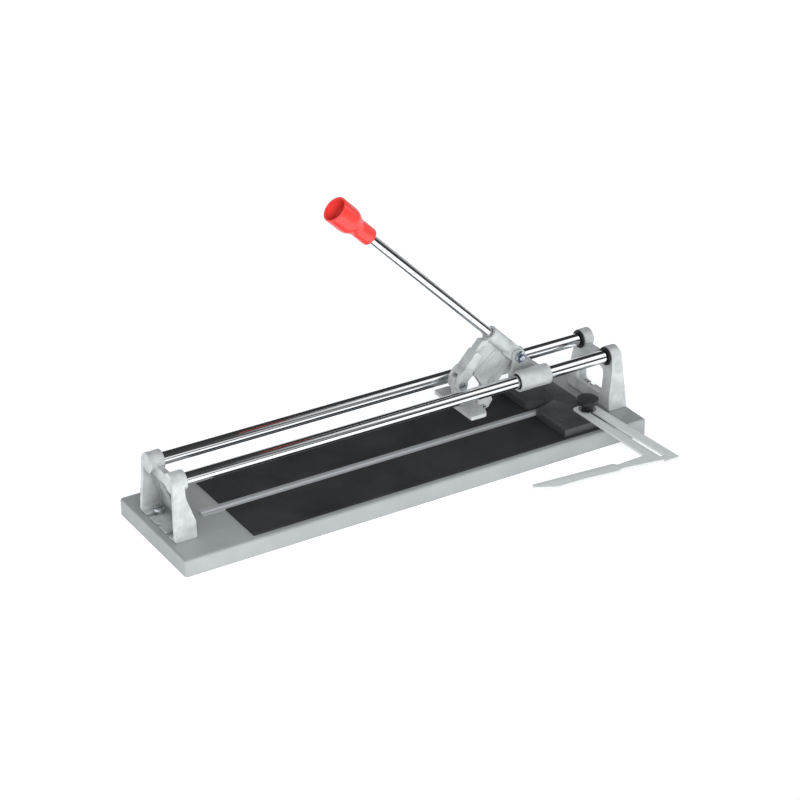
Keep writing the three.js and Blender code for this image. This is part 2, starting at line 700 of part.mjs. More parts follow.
// Drawn about the pin that it hangs on.
function breakerFoot() {
  const { hub, lugHalf, wingLeft, wingRight, wingTop, wingThick, wingHalf, cornerX, cornerY } = foot;
  const sole = wingTop - wingThick;
  const lug = outline([
    [-hub, 0], [-10, 7.5], [-7, 10.5], [0, hub], [hub, 0], [13, wingTop - 1], [-5, wingTop - 1],
  ], 3);
  const plan = outline([
    [wingLeft, -wingHalf], [wingRight - cornerX, -wingHalf], [wingRight, cornerY - wingHalf],
    [wingRight, wingHalf - cornerY], [wingRight - cornerX, wingHalf], [wingLeft, wingHalf],
  ], 1.5);
  let body = prismY(lug, -lugHalf, lugHalf).add(bar('y', 0, 0, hub, -lugHalf, lugHalf));
  body = body.add(prismZ(plan, sole, wingTop));
  return body.subtract(bar('y', 0, 0, footJoint.pin + GAP, -lugHalf - 1, lugHalf + 1, SMALL_STEPS));
}

// ---------------------------------------------------------------- assembly

function addBase() {
  addNode('base_tray', baseTray(), 'greyPaint');
  addNode('centre_stiffener', centreStiffener(), 'greyPaint');
  addNode('breaker_rib', breakerRib(), 'aluminium');
  addNode('front_pad', supportPad(-1), 'rubber');
  addNode('rear_pad', supportPad(1), 'rubber');
}

function addSupports() {
  addNode('left_support', placedSupport(leftEnd), 'blasted');
  addNode('right_support', placedSupport(rightEnd), 'blasted');
  const { shank, head, headHeight, slot, nutFlats, nutHeight } = supportScrew;
  const length = support.floor + base.sheet + nutHeight + 2;
  for (const { x, y, name } of supportScrewPlaces()) {
    const screw = addNode(`support_screw_${name}`, panScrew(shank, head, headHeight, length, slot), 'zinc');
    screw.position.set(x, y, base.height + support.floor);
    const nut = addNode(`support_nut_${name}`, hexNut(nutFlats, nutHeight, shank + GAP), 'zinc');
    nut.position.set(x, y, base.height - base.sheet - nutHeight);
  }
}

function addRails() {
  for (const [y, name] of [[-rail.halfSpacing, 'front'], [rail.halfSpacing, 'rear']]) {
    addNode(`${name}_rail`, guideRail(y), 'chrome');
    addNode(`${name}_buffer_ring`, bufferRingBody(y), 'rubber');
  }
}

function addPlateAndSquare() {
  addNode('measuring_plate', measuringPlate(), 'darkPlate');
  const { screwShank, screwHead, screwHeadHeight, thickness } = plate;
  const length = base.sheet + pad.thickness + thickness / 2;
  for (const { x, y, name } of plateScrewPlaces()) {
    const body = panScrew(screwShank, screwHead, screwHeadHeight, length, 0);
    const screw = addNode(`plate_screw_${name}`, body, 'zinc');
    screw.rotation.x = Math.PI;
    screw.position.set(x, y, base.height - base.sheet - GAP / 3);
  }
  addNode('clamp_stud', clampStud(), 'zinc');
  const clamp = new THREE.Group();
  clamp.position.set(knob.x, knob.y, 0);
  clamp.rotation.z = square.turn;
  tileCutter.add(clamp);
  addNode('square_arm', squareArm(), 'arm', clamp).position.z = squareBottom;
  addNode('clamp_washer', clampWasher(), 'zinc', clamp).position.z = washerBottom;
  addNode('clamp_knob', clampKnob(), 'blackPlastic', clamp).position.z = knobBottom;
}

function addCarriage() {
  addNode('carriage_casting', carriageCasting(), 'blasted');
  const { left, right, bushLength, bushRecess } = carriage;
  const ends = [[left + bushRecess, 'left'], [right - bushRecess - bushLength, 'right']];
  for (const [y, rowName] of [[-rail.halfSpacing, 'front'], [rail.halfSpacing, 'rear']]) {
    for (const [x, endName] of ends) {
      addNode(`${rowName}_bush_${endName}`, slideBush(y, x), 'blackPlastic');
    }
  }
  const hinge = new THREE.Group();
  hinge.position.set(pivot.x, 0, pivot.z);
  tileCutter.add(hinge);
  addNode('pivot_bolt', pivotBolt(), 'zinc', hinge);
  addNode('pivot_nut', pivotNut(), 'zinc', hinge);
  return hinge;
}

function addLever(hinge) {
  addNode('lever_casting', leverCasting(), 'blasted', hinge);
  const rodBody = solid(onRodAxis(turnedBar(lever.rodRadius, lever.boreFrom + GAP, lever.rodEnd)));
  addNode('lever_rod', rodBody, 'chrome', hinge);
  addNode('lever_grip', leverGrip(), 'redPlastic', hinge);
  addNode('scoring_wheel', scoringWheel(), 'carbide', hinge);
  const { axle, head, headHeight } = wheel;
  const half = lever.holderHalf;
  addNode('wheel_axle', crossPin(wheel, axle, head, headHeight, half, 3), 'zinc', hinge);
  addNode('wheel_axle_nut', pinNut(wheel, 7, 2.4, axle, half), 'zinc', hinge);
  const { pin } = footJoint;
  const pinBody = crossPin(footJoint, pin, footJoint.head, footJoint.headHeight, lever.forkHalf, 4);
  addNode('foot_pin', pinBody, 'zinc', hinge);
  addNode('foot_pin_nut', pinNut(footJoint, 10, 3, pin, lever.forkHalf), 'zinc', hinge);
  addNode('breaker_foot', breakerFoot(), 'blasted', hinge).position.set(footJoint.x, 0, footJoint.z);
}

addBase();
addSupports();
addRails();
addPlateAndSquare();
addLever(addCarriage());

export default tileCutter;
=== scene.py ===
"""Looks of a manual tile cutter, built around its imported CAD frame. Metres, +Z up."""

import math

import bmesh
import bpy
from mathutils import Matrix, Vector


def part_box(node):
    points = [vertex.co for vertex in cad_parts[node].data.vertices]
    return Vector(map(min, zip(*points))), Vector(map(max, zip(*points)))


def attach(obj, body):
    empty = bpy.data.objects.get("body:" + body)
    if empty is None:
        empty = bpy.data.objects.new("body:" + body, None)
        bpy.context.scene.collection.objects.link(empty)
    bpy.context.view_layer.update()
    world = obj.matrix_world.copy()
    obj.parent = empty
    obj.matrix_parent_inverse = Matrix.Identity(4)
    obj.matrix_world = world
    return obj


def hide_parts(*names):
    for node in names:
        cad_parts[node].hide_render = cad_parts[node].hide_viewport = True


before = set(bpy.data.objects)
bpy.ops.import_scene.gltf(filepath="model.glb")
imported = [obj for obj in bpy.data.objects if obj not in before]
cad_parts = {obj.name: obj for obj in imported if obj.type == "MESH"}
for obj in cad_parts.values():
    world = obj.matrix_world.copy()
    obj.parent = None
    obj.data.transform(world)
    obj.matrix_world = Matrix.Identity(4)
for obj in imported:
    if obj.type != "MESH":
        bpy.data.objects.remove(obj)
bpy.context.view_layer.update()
MM = 0.001


# ---------------------------------------------------------------------------
# Camera. It stands in front of the tool and to its left, a little above it, with a long lens.
# The three turns are its heading from +X, how far it looks down, and how far it leans.

yaw = math.radians(59.02)
pitch = math.radians(27.54)
roll = math.radians(-0.595)
forward = Vector((math.cos(yaw) * math.cos(pitch), math.sin(yaw) * math.cos(pitch), -math.sin(pitch)))
level_right = Vector((math.sin(yaw), -math.cos(yaw), 0))
level_up = level_right.cross(forward)
right = math.cos(roll) * level_right + math.sin(roll) * level_up
up = -math.sin(roll) * level_right + math.cos(roll) * level_up
camera_data = bpy.data.cameras.new("camera")
camera_data.lens = 110.71
camera_data.sensor_width = 36
camera_place = (-1.32931, -2.23889, 1.45726)
camera = bpy.data.objects.new("camera", camera_data)
camera.matrix_world = Matrix.Translation(camera_place) @ Matrix((
    (right.x, up.x, -forward.x, 0),
    (right.y, up.y, -forward.y, 0),
    (right.z, up.z, -forward.z, 0),
    (0, 0, 0, 1),
))
bpy.context.scene.collection.objects.link(camera)
bpy.context.scene.camera = camera


# ---------------------------------------------------------------------------
# Studio. A sheet of white paper, a large soft box to the front and left and an even white room.
# Bright metal mirrors something else: a dark room with a round soft box, seen as black bands.

def linear(code):
    """An sRGB hex colour as the linear values that a shader takes."""
    channels = [int(code[i:i + 2], 16) / 255 for i in (1, 3, 5)]
    return [c / 12.92 if c <= 0.04045 else ((c + 0.055) / 1.055) ** 2.4 for c in channels] + [1]


def add_node(tree, kind, inputs=None, **settings):
    """Adds a node, sets it, and fills its inputs with values or links."""
    node = tree.nodes.new(kind)
    for name, value in settings.items():
        setattr(node, name, value)
    for name, value in (inputs or {}).items():
        if isinstance(value, bpy.types.NodeSocket):
            tree.links.new(value, node.inputs[name])
        else:
            node.inputs[name].default_value = value
    return node


def add_stops(node, stops):
    """Puts grey or coloured stops on a colour ramp."""
    ramp = node.color_ramp
    while len(ramp.elements) < len(stops):
        ramp.elements.new(0.5)
    for element, (place, colour) in zip(ramp.elements, stops):
        element.position = place
        element.color = colour if len(colour) == 4 else (*colour, 1)


def scaled(tree, value, factor):
    """A value times a factor."""
    return add_node(tree, "ShaderNodeMath", {0: value, 1: factor}, operation="MULTIPLY").outputs[0]


world = bpy.data.worlds.new("studio")
bpy.context.scene.world = world
bpy.context.scene.view_settings.view_transform = "Standard"
world.use_nodes = True
world.node_tree.nodes.clear()
room = world.node_tree
direction = add_node(room, "ShaderNodeTexCoord")
toward = add_node(room, "ShaderNodeSeparateXYZ", {0: direction.outputs["Generated"]})
forwards = scaled(room, toward.outputs["Y"], -1.0)
angle = add_node(room, "ShaderNodeMath", {0: toward.outputs["Z"], 1: forwards}, operation="ARCTAN2")
turn_over = add_node(room, "ShaderNodeMapRange", {
    "Value": angle.outputs[0], "From Min": 0.0, "From Max": math.pi, "To Min": 0.0, "To Max": 1.0})
# From the front horizon over the top to the back: a dark room, one thin light line, a bright wall.
backdrop = add_node(room, "ShaderNodeValToRGB", {"Fac": turn_over.outputs["Result"]})
add_stops(backdrop, [
    (0.0, (0.05,) * 3), (0.10, (0.06,) * 3), (0.13, (0.3,) * 3), (0.16, (0.06,) * 3), (0.84, (0.03,) * 3),
    (0.885, (0.04,) * 3), (0.90, (1.1,) * 3), (1.0, (1.1,) * 3)])


def lit_disc(side, level, half_side, half_level, strength):
    """A soft edged disc of light: side runs along X, level is the angle over the front horizon."""
    across = add_node(room, "ShaderNodeMapRange", {
        "Value": toward.outputs["X"], "From Min": side - half_side, "From Max": side + half_side,
        "To Min": -1.0, "To Max": 1.0}, clamp=False)
    rise = add_node(room, "ShaderNodeMapRange", {
        "Value": angle.outputs[0], "From Min": math.radians(level - half_level),
        "From Max": math.radians(level + half_level), "To Min": -1.0, "To Max": 1.0}, clamp=False)
    both = add_node(room, "ShaderNodeCombineXYZ", {
        "X": across.outputs["Result"], "Y": rise.outputs["Result"]})
    reach = add_node(room, "ShaderNodeVectorMath", {0: both.outputs["Vector"]}, operation="LENGTH")
    return add_node(room, "ShaderNodeMapRange", {
        "Value": reach.outputs["Value"], "From Min": 1.0, "From Max": 0.8, "To Min": 0.0,
        "To Max": strength}).outputs["Result"]


big_disc = lit_disc(side=0.72, level=54, half_side=0.33, half_level=40, strength=1.3)
left_disc = lit_disc(side=0.0, level=14, half_side=0.46, half_level=26, strength=1.0)
discs = add_node(room, "ShaderNodeMath", {0: big_disc, 1: left_disc}, operation="ADD")
mirrored = add_node(room, "ShaderNodeMixRGB", {
    "Fac": 1.0, "Color1": backdrop.outputs["Color"], "Color2": discs.outputs[0]}, blend_type="ADD")
ray = add_node(room, "ShaderNodeLightPath")
seen = add_node(room, "ShaderNodeMixRGB", {
    "Fac": ray.outputs["Is Diffuse Ray"], "Color1": mirrored.outputs["Color"],
    "Color2": linear("#e2e6eb")})
open_view = add_node(room, "ShaderNodeMixRGB", {
    "Fac": ray.outputs["Is Camera Ray"], "Color1": seen.outputs["Color"],
    "Color2": (1.0, 1.0, 1.0, 1.0)})
glow = add_node(room, "ShaderNodeBackground", {"Color": open_view.outputs["Color"], "Strength": 1.0})
add_node(room, "ShaderNodeOutputWorld", {"Surface": glow.outputs["Background"]})


def soft_box(name, place, target, size, power):
    """A rectangular lamp of size metres that faces target and shows in no mirror."""
    data = bpy.data.lights.new(name, "AREA")
    data.shape = "RECTANGLE"
    data.size, data.size_y = size
    data.energy = power
    lamp = bpy.data.objects.new(name, data)
    lamp.location = place
    lamp.rotation_euler = (Vector(target) - Vector(place)).to_track_quat("-Z", "Y").to_euler()
    lamp.visible_glossy = False
    bpy.context.scene.collection.objects.link(lamp)


soft_box("front_soft_box", place=(-0.75, -1.75, 0.95), target=(0.1, 0, 0.06), size=(1.3, 0.8), power=48)

floor_mesh = bpy.data.meshes.new("floor")
paper_corners = [(-2.5, -0.72, 0), (3.5, -0.72, 0), (3.5, 5, 0), (-2.5, 5, 0)]
floor_mesh.from_pydata(paper_corners, [], [(0, 1, 2, 3)])
floor = bpy.data.objects.new("floor", floor_mesh)
bpy.context.scene.collection.objects.link(floor)
floor_paper = bpy.data.materials.new("white paper")
floor_paper.use_nodes = True
paper_shader = floor_paper.node_tree.nodes["Principled BSDF"]
paper_shader.inputs["Base Color"].default_value = linear("#f8f8f8")
paper_shader.inputs["Roughness"].default_value = 0.9
paper_shader.inputs["Emission Color"].default_value = (1, 1, 1, 1)
paper_shader.inputs["Emission Strength"].default_value = 0.22
floor_mesh.materials.append(floor_paper)


# ---------------------------------------------------------------------------
# Base tray. Mild steel sheet of 1.5 mm folded down on four sides, powder coated in a warm grey.
# The coat rounds every bend, and its fine grain makes the highlight along the fold a soft line.

def new_material(name):
    """A material with its shader, and the place of each point on the piece in metres."""
    material = bpy.data.materials.new(name)
    material.use_nodes = True
    tree = material.node_tree
    tree.nodes.clear()
    shader = add_node(tree, "ShaderNodeBsdfPrincipled")
    add_node(tree, "ShaderNodeOutputMaterial", {"Surface": shader.outputs["BSDF"]})
    place = add_node(tree, "ShaderNodeTexCoord").outputs["Object"]
    return material, tree, shader, place


def grain(tree, place, size_mm, detail=2.0, rough=0.5):
    """Noise whose lumps are about size_mm across."""
    return add_node(tree, "ShaderNodeTexNoise", {
        "Vector": place, "Scale": 1 / (size_mm * MM), "Detail": detail, "Roughness": rough,
    }).outputs["Fac"]


def shade_between(tree, fac, low, high, start=0.3, end=0.7):
    """A colour that goes from low to high as fac goes from start to end."""
    ramp = add_node(tree, "ShaderNodeValToRGB", {"Fac": fac})
    add_stops(ramp, [(start, linear(low)), (end, linear(high))])
    return ramp.outputs["Color"]


def value_between(tree, fac, low, high):
    """A value that goes from low to high over the middle of the noise."""
    ramp = add_node(tree, "ShaderNodeMapRange", {
        "Value": fac, "From Min": 0.3, "From Max": 0.7, "To Min": low, "To Max": high})
    return ramp.outputs["Result"]


def relief(tree, shader, height, depth_mm):
    """Bump of a real depth on the shader's normal."""
    bump = add_node(tree, "ShaderNodeBump", {"Height": height, "Distance": depth_mm * MM, "Strength": 1.0})
    tree.links.new(bump.outputs["Normal"], shader.inputs["Normal"])


def powder_coat():
    """Silver grey powder coat: a little metal flake in it, grained like orange peel, half matt."""
    material, tree, shader, place = new_material("grey powder coat")
    cloud = grain(tree, place, 60, 3)
    peel = grain(tree, place, 1.1, 2)
    shader.inputs["Metallic"].default_value = 0.4
    tree.links.new(shade_between(tree, cloud, "#939695", "#9ca09f"), shader.inputs["Base Color"])
    tree.links.new(value_between(tree, grain(tree, place, 9), 0.36, 0.46), shader.inputs["Roughness"])
    relief(tree, shader, peel, 0.05)
    return material


def settled(piece):
    """Applies the piece's modifiers to its mesh."""
    bpy.context.view_layer.update()
    evaluated = piece.evaluated_get(bpy.context.evaluated_depsgraph_get())
    mesh = bpy.data.meshes.new_from_object(evaluated)
    old = piece.data
    piece.modifiers.clear()
    piece.data = mesh
    bpy.data.meshes.remove(old)
    return piece


def rounded(piece, radius_mm, steps=3, angle=30):
    """Rounds the piece's sharp edges."""
    bevel = piece.modifiers.new("edge", "BEVEL")
    bevel.width = radius_mm * MM
    bevel.segments = steps
    bevel.limit_method = "ANGLE"
    bevel.angle_limit = math.radians(angle)
    return settled(piece)


def object_of(name, built):
    """An object from a bmesh."""
    bmesh.ops.recalc_face_normals(built, faces=built.faces)
    mesh = bpy.data.meshes.new(name)
    built.to_mesh(mesh)
    built.free()
    piece = bpy.data.objects.new(name, mesh)
    bpy.context.scene.collection.objects.link(piece)
    return piece


def finished(piece, material, body, slot, *nodes, smooth=35):
    """Gives a piece its shading, material and body, and hides the CAD nodes that it stands for; the slot
    argument is not used.
    """
    piece.data.materials.clear()
    piece.data.materials.append(material)
    piece.data.shade_smooth()
    piece.data.set_sharp_from_angle(angle=math.radians(smooth))
    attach(piece, body)
    if nodes:
        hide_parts(*nodes)
    return piece


def box_mesh(name, low, high):
    """A box between two corners in metres."""
    built = bmesh.new()
    bmesh.ops.create_cube(built, size=1)
    low, high = Vector(low), Vector(high)
    for vertex in built.verts:
        vertex.co = Vector((vertex.co[i] * (high[i] - low[i]) + (low[i] + high[i]) / 2 for i in range(3)))
    return object_of(name, built)


SHEET, FOLD_RADIUS = 1.5 * MM, 3.2 * MM
tray_low, tray_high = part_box("base_tray")
base_top = tray_high[2]
tray = box_mesh("base_tray_folded", tray_low, tray_high)
tray_edit = bmesh.new()
tray_edit.from_mesh(tray.data)
bottom = [face for face in tray_edit.faces if face.normal.z < -0.9]
bmesh.ops.delete(tray_edit, geom=bottom, context="FACES_ONLY")
folds = [edge for edge in tray_edit.edges if not edge.is_boundary]
bmesh.ops.bevel(tray_edit, geom=folds, offset=FOLD_RADIUS, segments=6, profile=0.5, affect="EDGES")
tray_edit.to_mesh(tray.data)
tray_edit.free()
wall = tray.modifiers.new("sheet", "SOLIDIFY")
wall.thickness = SHEET
wall.offset = -1
settled(tray)
grey_coat = powder_coat()
finished(tray, grey_coat, "frame", "grey_paint", "base_tray")

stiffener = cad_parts["centre_stiffener"]
stiffener.data.materials.clear()
stiffener.data.materials.append(grey_coat)


# ---------------------------------------------------------------------------
# Pads. Two sheets of black foam rubber glued to the base. The skin is matt and faintly pitted,
# and a little paler where tiles have rubbed it.

def foam_rubber():
    """Foam rubber with a moulded skin: almost black, no gloss, and pits that break the light."""
    material, tree, shader, place = new_material("black foam rubber")
    pits = grain(tree, place, 0.9, 3, 0.7)
    tree.links.new(shade_between(tree, grain(tree, place, 45, 4), "#1d1e20", "#292a2c"),
                   shader.inputs["Base Color"])
    tree.links.new(value_between(tree, pits, 0.72, 0.9), shader.inputs["Roughness"])
    shader.inputs["Specular IOR Level"].default_value = 0.35
    relief(tree, shader, pits, 0.06)
    return material


PAD_EDGE = 0.45
foam = foam_rubber()
for side in ("front", "rear"):
    low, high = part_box(f"{side}_pad")
    sheet = rounded(box_mesh(f"{side}_pad_sheet", low, high), PAD_EDGE)
    finished(sheet, foam, "frame", "foam_rubber", f"{side}_pad")


# ---------------------------------------------------------------------------
# Breaking rib. An extruded aluminium strip between the pads with a low ridge, over which the
# scored tile is snapped. The die leaves fine lines along it.

def eased(points, radius, steps=5, closed=True):
    """The outline with each corner rounded by about the given length."""
    result = []
    count = len(points)
    for i, corner in enumerate(points):
        here = Vector(corner)
        if not closed and i in (0, count - 1):
            result.append(tuple(here))
            continue
        before = Vector(points[i - 1])
        after = Vector(points[(i + 1) % count])
        reach = min(radius, (before - here).length * 0.45, (after - here).length * 0.45)
        start = here + (before - here).normalized() * reach
        end = here + (after - here).normalized() * reach
        for step in range(steps + 1):
            t = step / steps
            result.append(tuple(start * (1 - t) ** 2 + here * 2 * t * (1 - t) + end * t ** 2))
    return result


PLANES = {"x": (1, 2, 0), "y": (0, 2, 1), "z": (0, 1, 2)}


def prism(name, points, axis, low, high):
    """An outline in mm drawn out along an axis; its two coordinates are the other two axes."""
    first, second, along = PLANES[axis]
    built = bmesh.new()
    rings = []
    for level in (low, high):
        ring = []
        for a, b in points:
            place = [0, 0, 0]
            place[first], place[second], place[along] = a * MM, b * MM, level * MM
            ring.append(built.verts.new(place))
        rings.append(ring)
        built.faces.new(ring)
    count = len(points)
    for i in range(count):
        j = (i + 1) % count
        built.faces.new((rings[0][i], rings[0][j], rings[1][j], rings[1][i]))
    return object_of(name, built)


def drawn_aluminium():
    """Extruded aluminium: a dull pale strip with long fine die lines that stretch its highlight."""
    material, tree, shader, place = new_material("extruded aluminium")
    lines = add_node(tree, "ShaderNodeMapping", {"Vector": place, "Scale": (6, 900, 900)})
    streak = grain(tree, lines.outputs["Vector"], 1000, 3)
    shader.inputs["Metallic"].default_value = 0.2
    tree.links.new(shade_between(tree, streak, "#8f9294", "#9a9d9f"), shader.inputs["Base Color"])
    tree.links.new(value_between(tree, streak, 0.4, 0.55), shader.inputs["Roughness"])
    relief(tree, shader, streak, 0.02)
    return material


RIB_HALF, RIDGE_HALF, RIB_STRIP = 7.6, 1.4, 1.2
rib_low, rib_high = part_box("breaker_rib")
base_mm = base_top / MM
rib_mm = rib_high[2] / MM
rib_outline = [
    (-RIB_HALF, base_mm), (RIB_HALF, base_mm), (RIB_HALF, base_mm + RIB_STRIP),
    (2 * RIDGE_HALF, base_mm + RIB_STRIP), (RIDGE_HALF, rib_mm), (-RIDGE_HALF, rib_mm),
    (-2 * RIDGE_HALF, base_mm + RIB_STRIP), (-RIB_HALF, base_mm + RIB_STRIP)]
rib = prism("breaking_rib", eased(rib_outline, 0.4, 3), "x", rib_low[0] / MM, rib_high[0] / MM)
finished(rib, drawn_aluminium(), "frame", "rib_aluminium", "breaker_rib")


# ---------------------------------------------------------------------------
# Guide rails. Ground steel bar, 16 mm, hard chromed to a mirror; only a very fine haze and a few
# faint rubbed lines along it where the bushes slide.

def turned(name, profile, axis, centre, sides=96):
    """A body turned about an axis from (radius, place) pairs in mm; centre is where it starts."""
    first, second, along = PLANES[axis]
    built = bmesh.new()
    rings = []
    for radius, level in profile:
        ring = []
        count = 1 if radius == 0 else sides
        for i in range(count):
            angle = 2 * math.pi * i / sides
            place = [c * MM for c in centre]
            place[first] += radius * math.cos(angle) * MM
            place[second] += radius * math.sin(angle) * MM
            place[along] += level * MM
            ring.append(built.verts.new(place))
        rings.append(ring)
    loop = zip(rings, rings[1:]) if profile[0][0] == 0 else zip(rings, rings[1:] + rings[:1])
    for lower, upper in loop:
        for i in range(sides):
            j = (i + 1) % sides
            if len(lower) == 1:
                built.faces.new((lower[0], upper[i], upper[j]))
            elif len(upper) == 1:
                built.faces.new((lower[i], lower[j], upper[0]))
            else:
                built.faces.new((lower[i], lower[j], upper[j], upper[i]))
    return object_of(name, built)


def hard_chrome():
    """Ground and chromed steel: a bright mirror whose edges are softened only by a faint haze."""
    material, tree, shader, place = new_material("hard chrome plate")
    shader.inputs["Metallic"].default_value = 1.0
    shader.inputs["Base Color"].default_value = linear("#e9ebed")
    haze = grain(tree, place, 30, 4)
    tree.links.new(value_between(tree, haze, 0.045, 0.09), shader.inputs["Roughness"])
    relief(tree, shader, grain(tree, place, 14, 1), 0.004)
    return material


def rod_profile(radius, low, high, chamfer=0.8):
    """The half section of a bar with chamfered ends."""
    return [(0, low), (radius - chamfer, low), (radius, low + chamfer), (radius, high - chamfer),
            (radius - chamfer, high), (0, high)]


RAIL_RADIUS, RAIL_Y, RAIL_Z = 8, 28.6, 91.5
chrome = hard_chrome()
for side, y in (("front", -RAIL_Y), ("rear", RAIL_Y)):
    low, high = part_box(f"{side}_rail")
    bar = turned(f"{side}_guide_rail", rod_profile(RAIL_RADIUS, low[0] / MM, high[0] / MM), "x",
                 (0, y, RAIL_Z))
    finished(bar, chrome, "frame", "chrome", f"{side}_rail")


# ---------------------------------------------------------------------------
# Buffer rings. Black nitrile O-rings on the rails, which stop the carriage against the right
# support without a knock. Moulded, with a satin skin.

def moulded_black(name):
    """Moulded black rubber or acetal: nearly black, with a satin skin and a soft, broad highlight."""
    material, tree, shader, place = new_material(name)
    tree.links.new(shade_between(tree, grain(tree, place, 3), "#111213", "#1a1b1c"),
                   shader.inputs["Base Color"])
    tree.links.new(value_between(tree, grain(tree, place, 0.8), 0.45, 0.6), shader.inputs["Roughness"])
    relief(tree, shader, grain(tree, place, 0.6), 0.01)
    return material


nitrile = moulded_black("black nitrile rubber")
for side, y in (("front", -RAIL_Y), ("rear", RAIL_Y)):
    low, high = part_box(f"{side}_buffer_ring")
    wire = (high[0] - low[0]) / 2 / MM
    middle = (high[0] + low[0]) / 2 / MM
    outer = (high[1] - low[1]) / 2 / MM
    section = [(outer - wire + wire * math.cos(a), wire * math.sin(a))
               for a in (2 * math.pi * i / 24 for i in range(24))]
    ring = turned(f"{side}_rubber_ring", section, "x", (middle, y, RAIL_Z), 72)
    finished(ring, nitrile, "frame", "ring_rubber", f"{side}_buffer_ring")


# ---------------------------------------------------------------------------
# Rail supports. Two aluminium castings, shot blasted to an even pale grey: a hollow shell of legs
# and a wall with a window, a floor with open screw slots, and two closed bosses for the rails. A
# cast edge is never sharp, so each casting is joined, cut and then softened as a whole.

def combined(piece, tool, operation):
    """Joins or cuts a piece with a tool body, which is then removed."""
    step = piece.modifiers.new("step", "BOOLEAN")
    step.operation = operation
    step.solver = "MANIFOLD"
    step.object = tool
    settled(piece)
    mesh = tool.data
    bpy.data.objects.remove(tool)
    bpy.data.meshes.remove(mesh)
    return piece


def round_bar(axis, a, b, radius, low, high, sides=64):
    """A plain round bar; a and b are its centre on the other two axes, in mm."""
    first, second, _ = PLANES[axis]
    centre = [0, 0, 0]
    centre[first], centre[second] = a, b
    return turned("bar", [(0, low), (radius, low), (radius, high), (0, high)], axis, centre, sides)


def block(x0, x1, y0, y1, z0, z1):
    """A box in mm."""
    return box_mesh("block", (x0 * MM, y0 * MM, z0 * MM), (x1 * MM, y1 * MM, z1 * MM))


def cast_skin(piece, voxel_mm, passes):
    """Melts a joined body into one skin with the small radii that a sand or die casting has."""
    remesh = piece.modifiers.new("skin", "REMESH")
    remesh.mode = "VOXEL"
    remesh.voxel_size = voxel_mm * MM
    smooth = piece.modifiers.new("soften", "SMOOTH")
    smooth.factor = 0.5
    smooth.iterations = passes
    return settled(piece)


def blasted_casting():
    """Die cast aluminium, bead blasted: pale and even, with a fine pitted grain and dull gloss; painted
    shade darkens its corners and hollows.
    """
    material, tree, shader, place = new_material("bead blasted aluminium casting")
    shader.inputs["Metallic"].default_value = 0.5
    cloud = grain(tree, place, 16, 5, 0.6)
    beads = grain(tree, place, 0.55, 3, 0.6)
    # Painted shade: an ambient occlusion mask mixes a dark grey (#6f7375) into the corners, hollows and
    # recesses of each casting.
    corners = add_node(tree, "ShaderNodeAmbientOcclusion", {"Distance": 12 * MM}, samples=8,
                       only_local=True)
    metal = add_node(tree, "ShaderNodeMixRGB", {
        "Fac": corners.outputs["AO"], "Color1": linear("#6f7375"),
        "Color2": shade_between(tree, cloud, "#b2b5b5", "#c8cbcb", 0.38, 0.62)})
    tree.links.new(metal.outputs["Color"], shader.inputs["Base Color"])
    tree.links.new(value_between(tree, beads, 0.42, 0.6), shader.inputs["Roughness"])
    relief(tree, shader, beads, 0.06)
    return material


FOOT_HALF, BOSS_RADIUS, BOSS_CAP, SEAT_GAP = 46, 12.4, 3, 0.3
CHEEK, FLOOR_THICK, CAVITY_TOP, WALL_THICK = 5, 3, 53, 4
SILL_HALF, HEAD_HALF, WINDOW_EASE = 27.5, 24, 9
BOSS_HEIGHT = RAIL_Z - base_mm
SUPPORT_SCREW_Y, SCREW_SLOT, NOTCH = 25.2, 4.4, 4.2
THROUGH, ABOVE, BOSS_STEPS = 60, 90, 18
SAND_VOXEL, DIE_VOXEL, SKIN_PASSES = 0.6, 0.5, 2
casting_metal = blasted_casting()


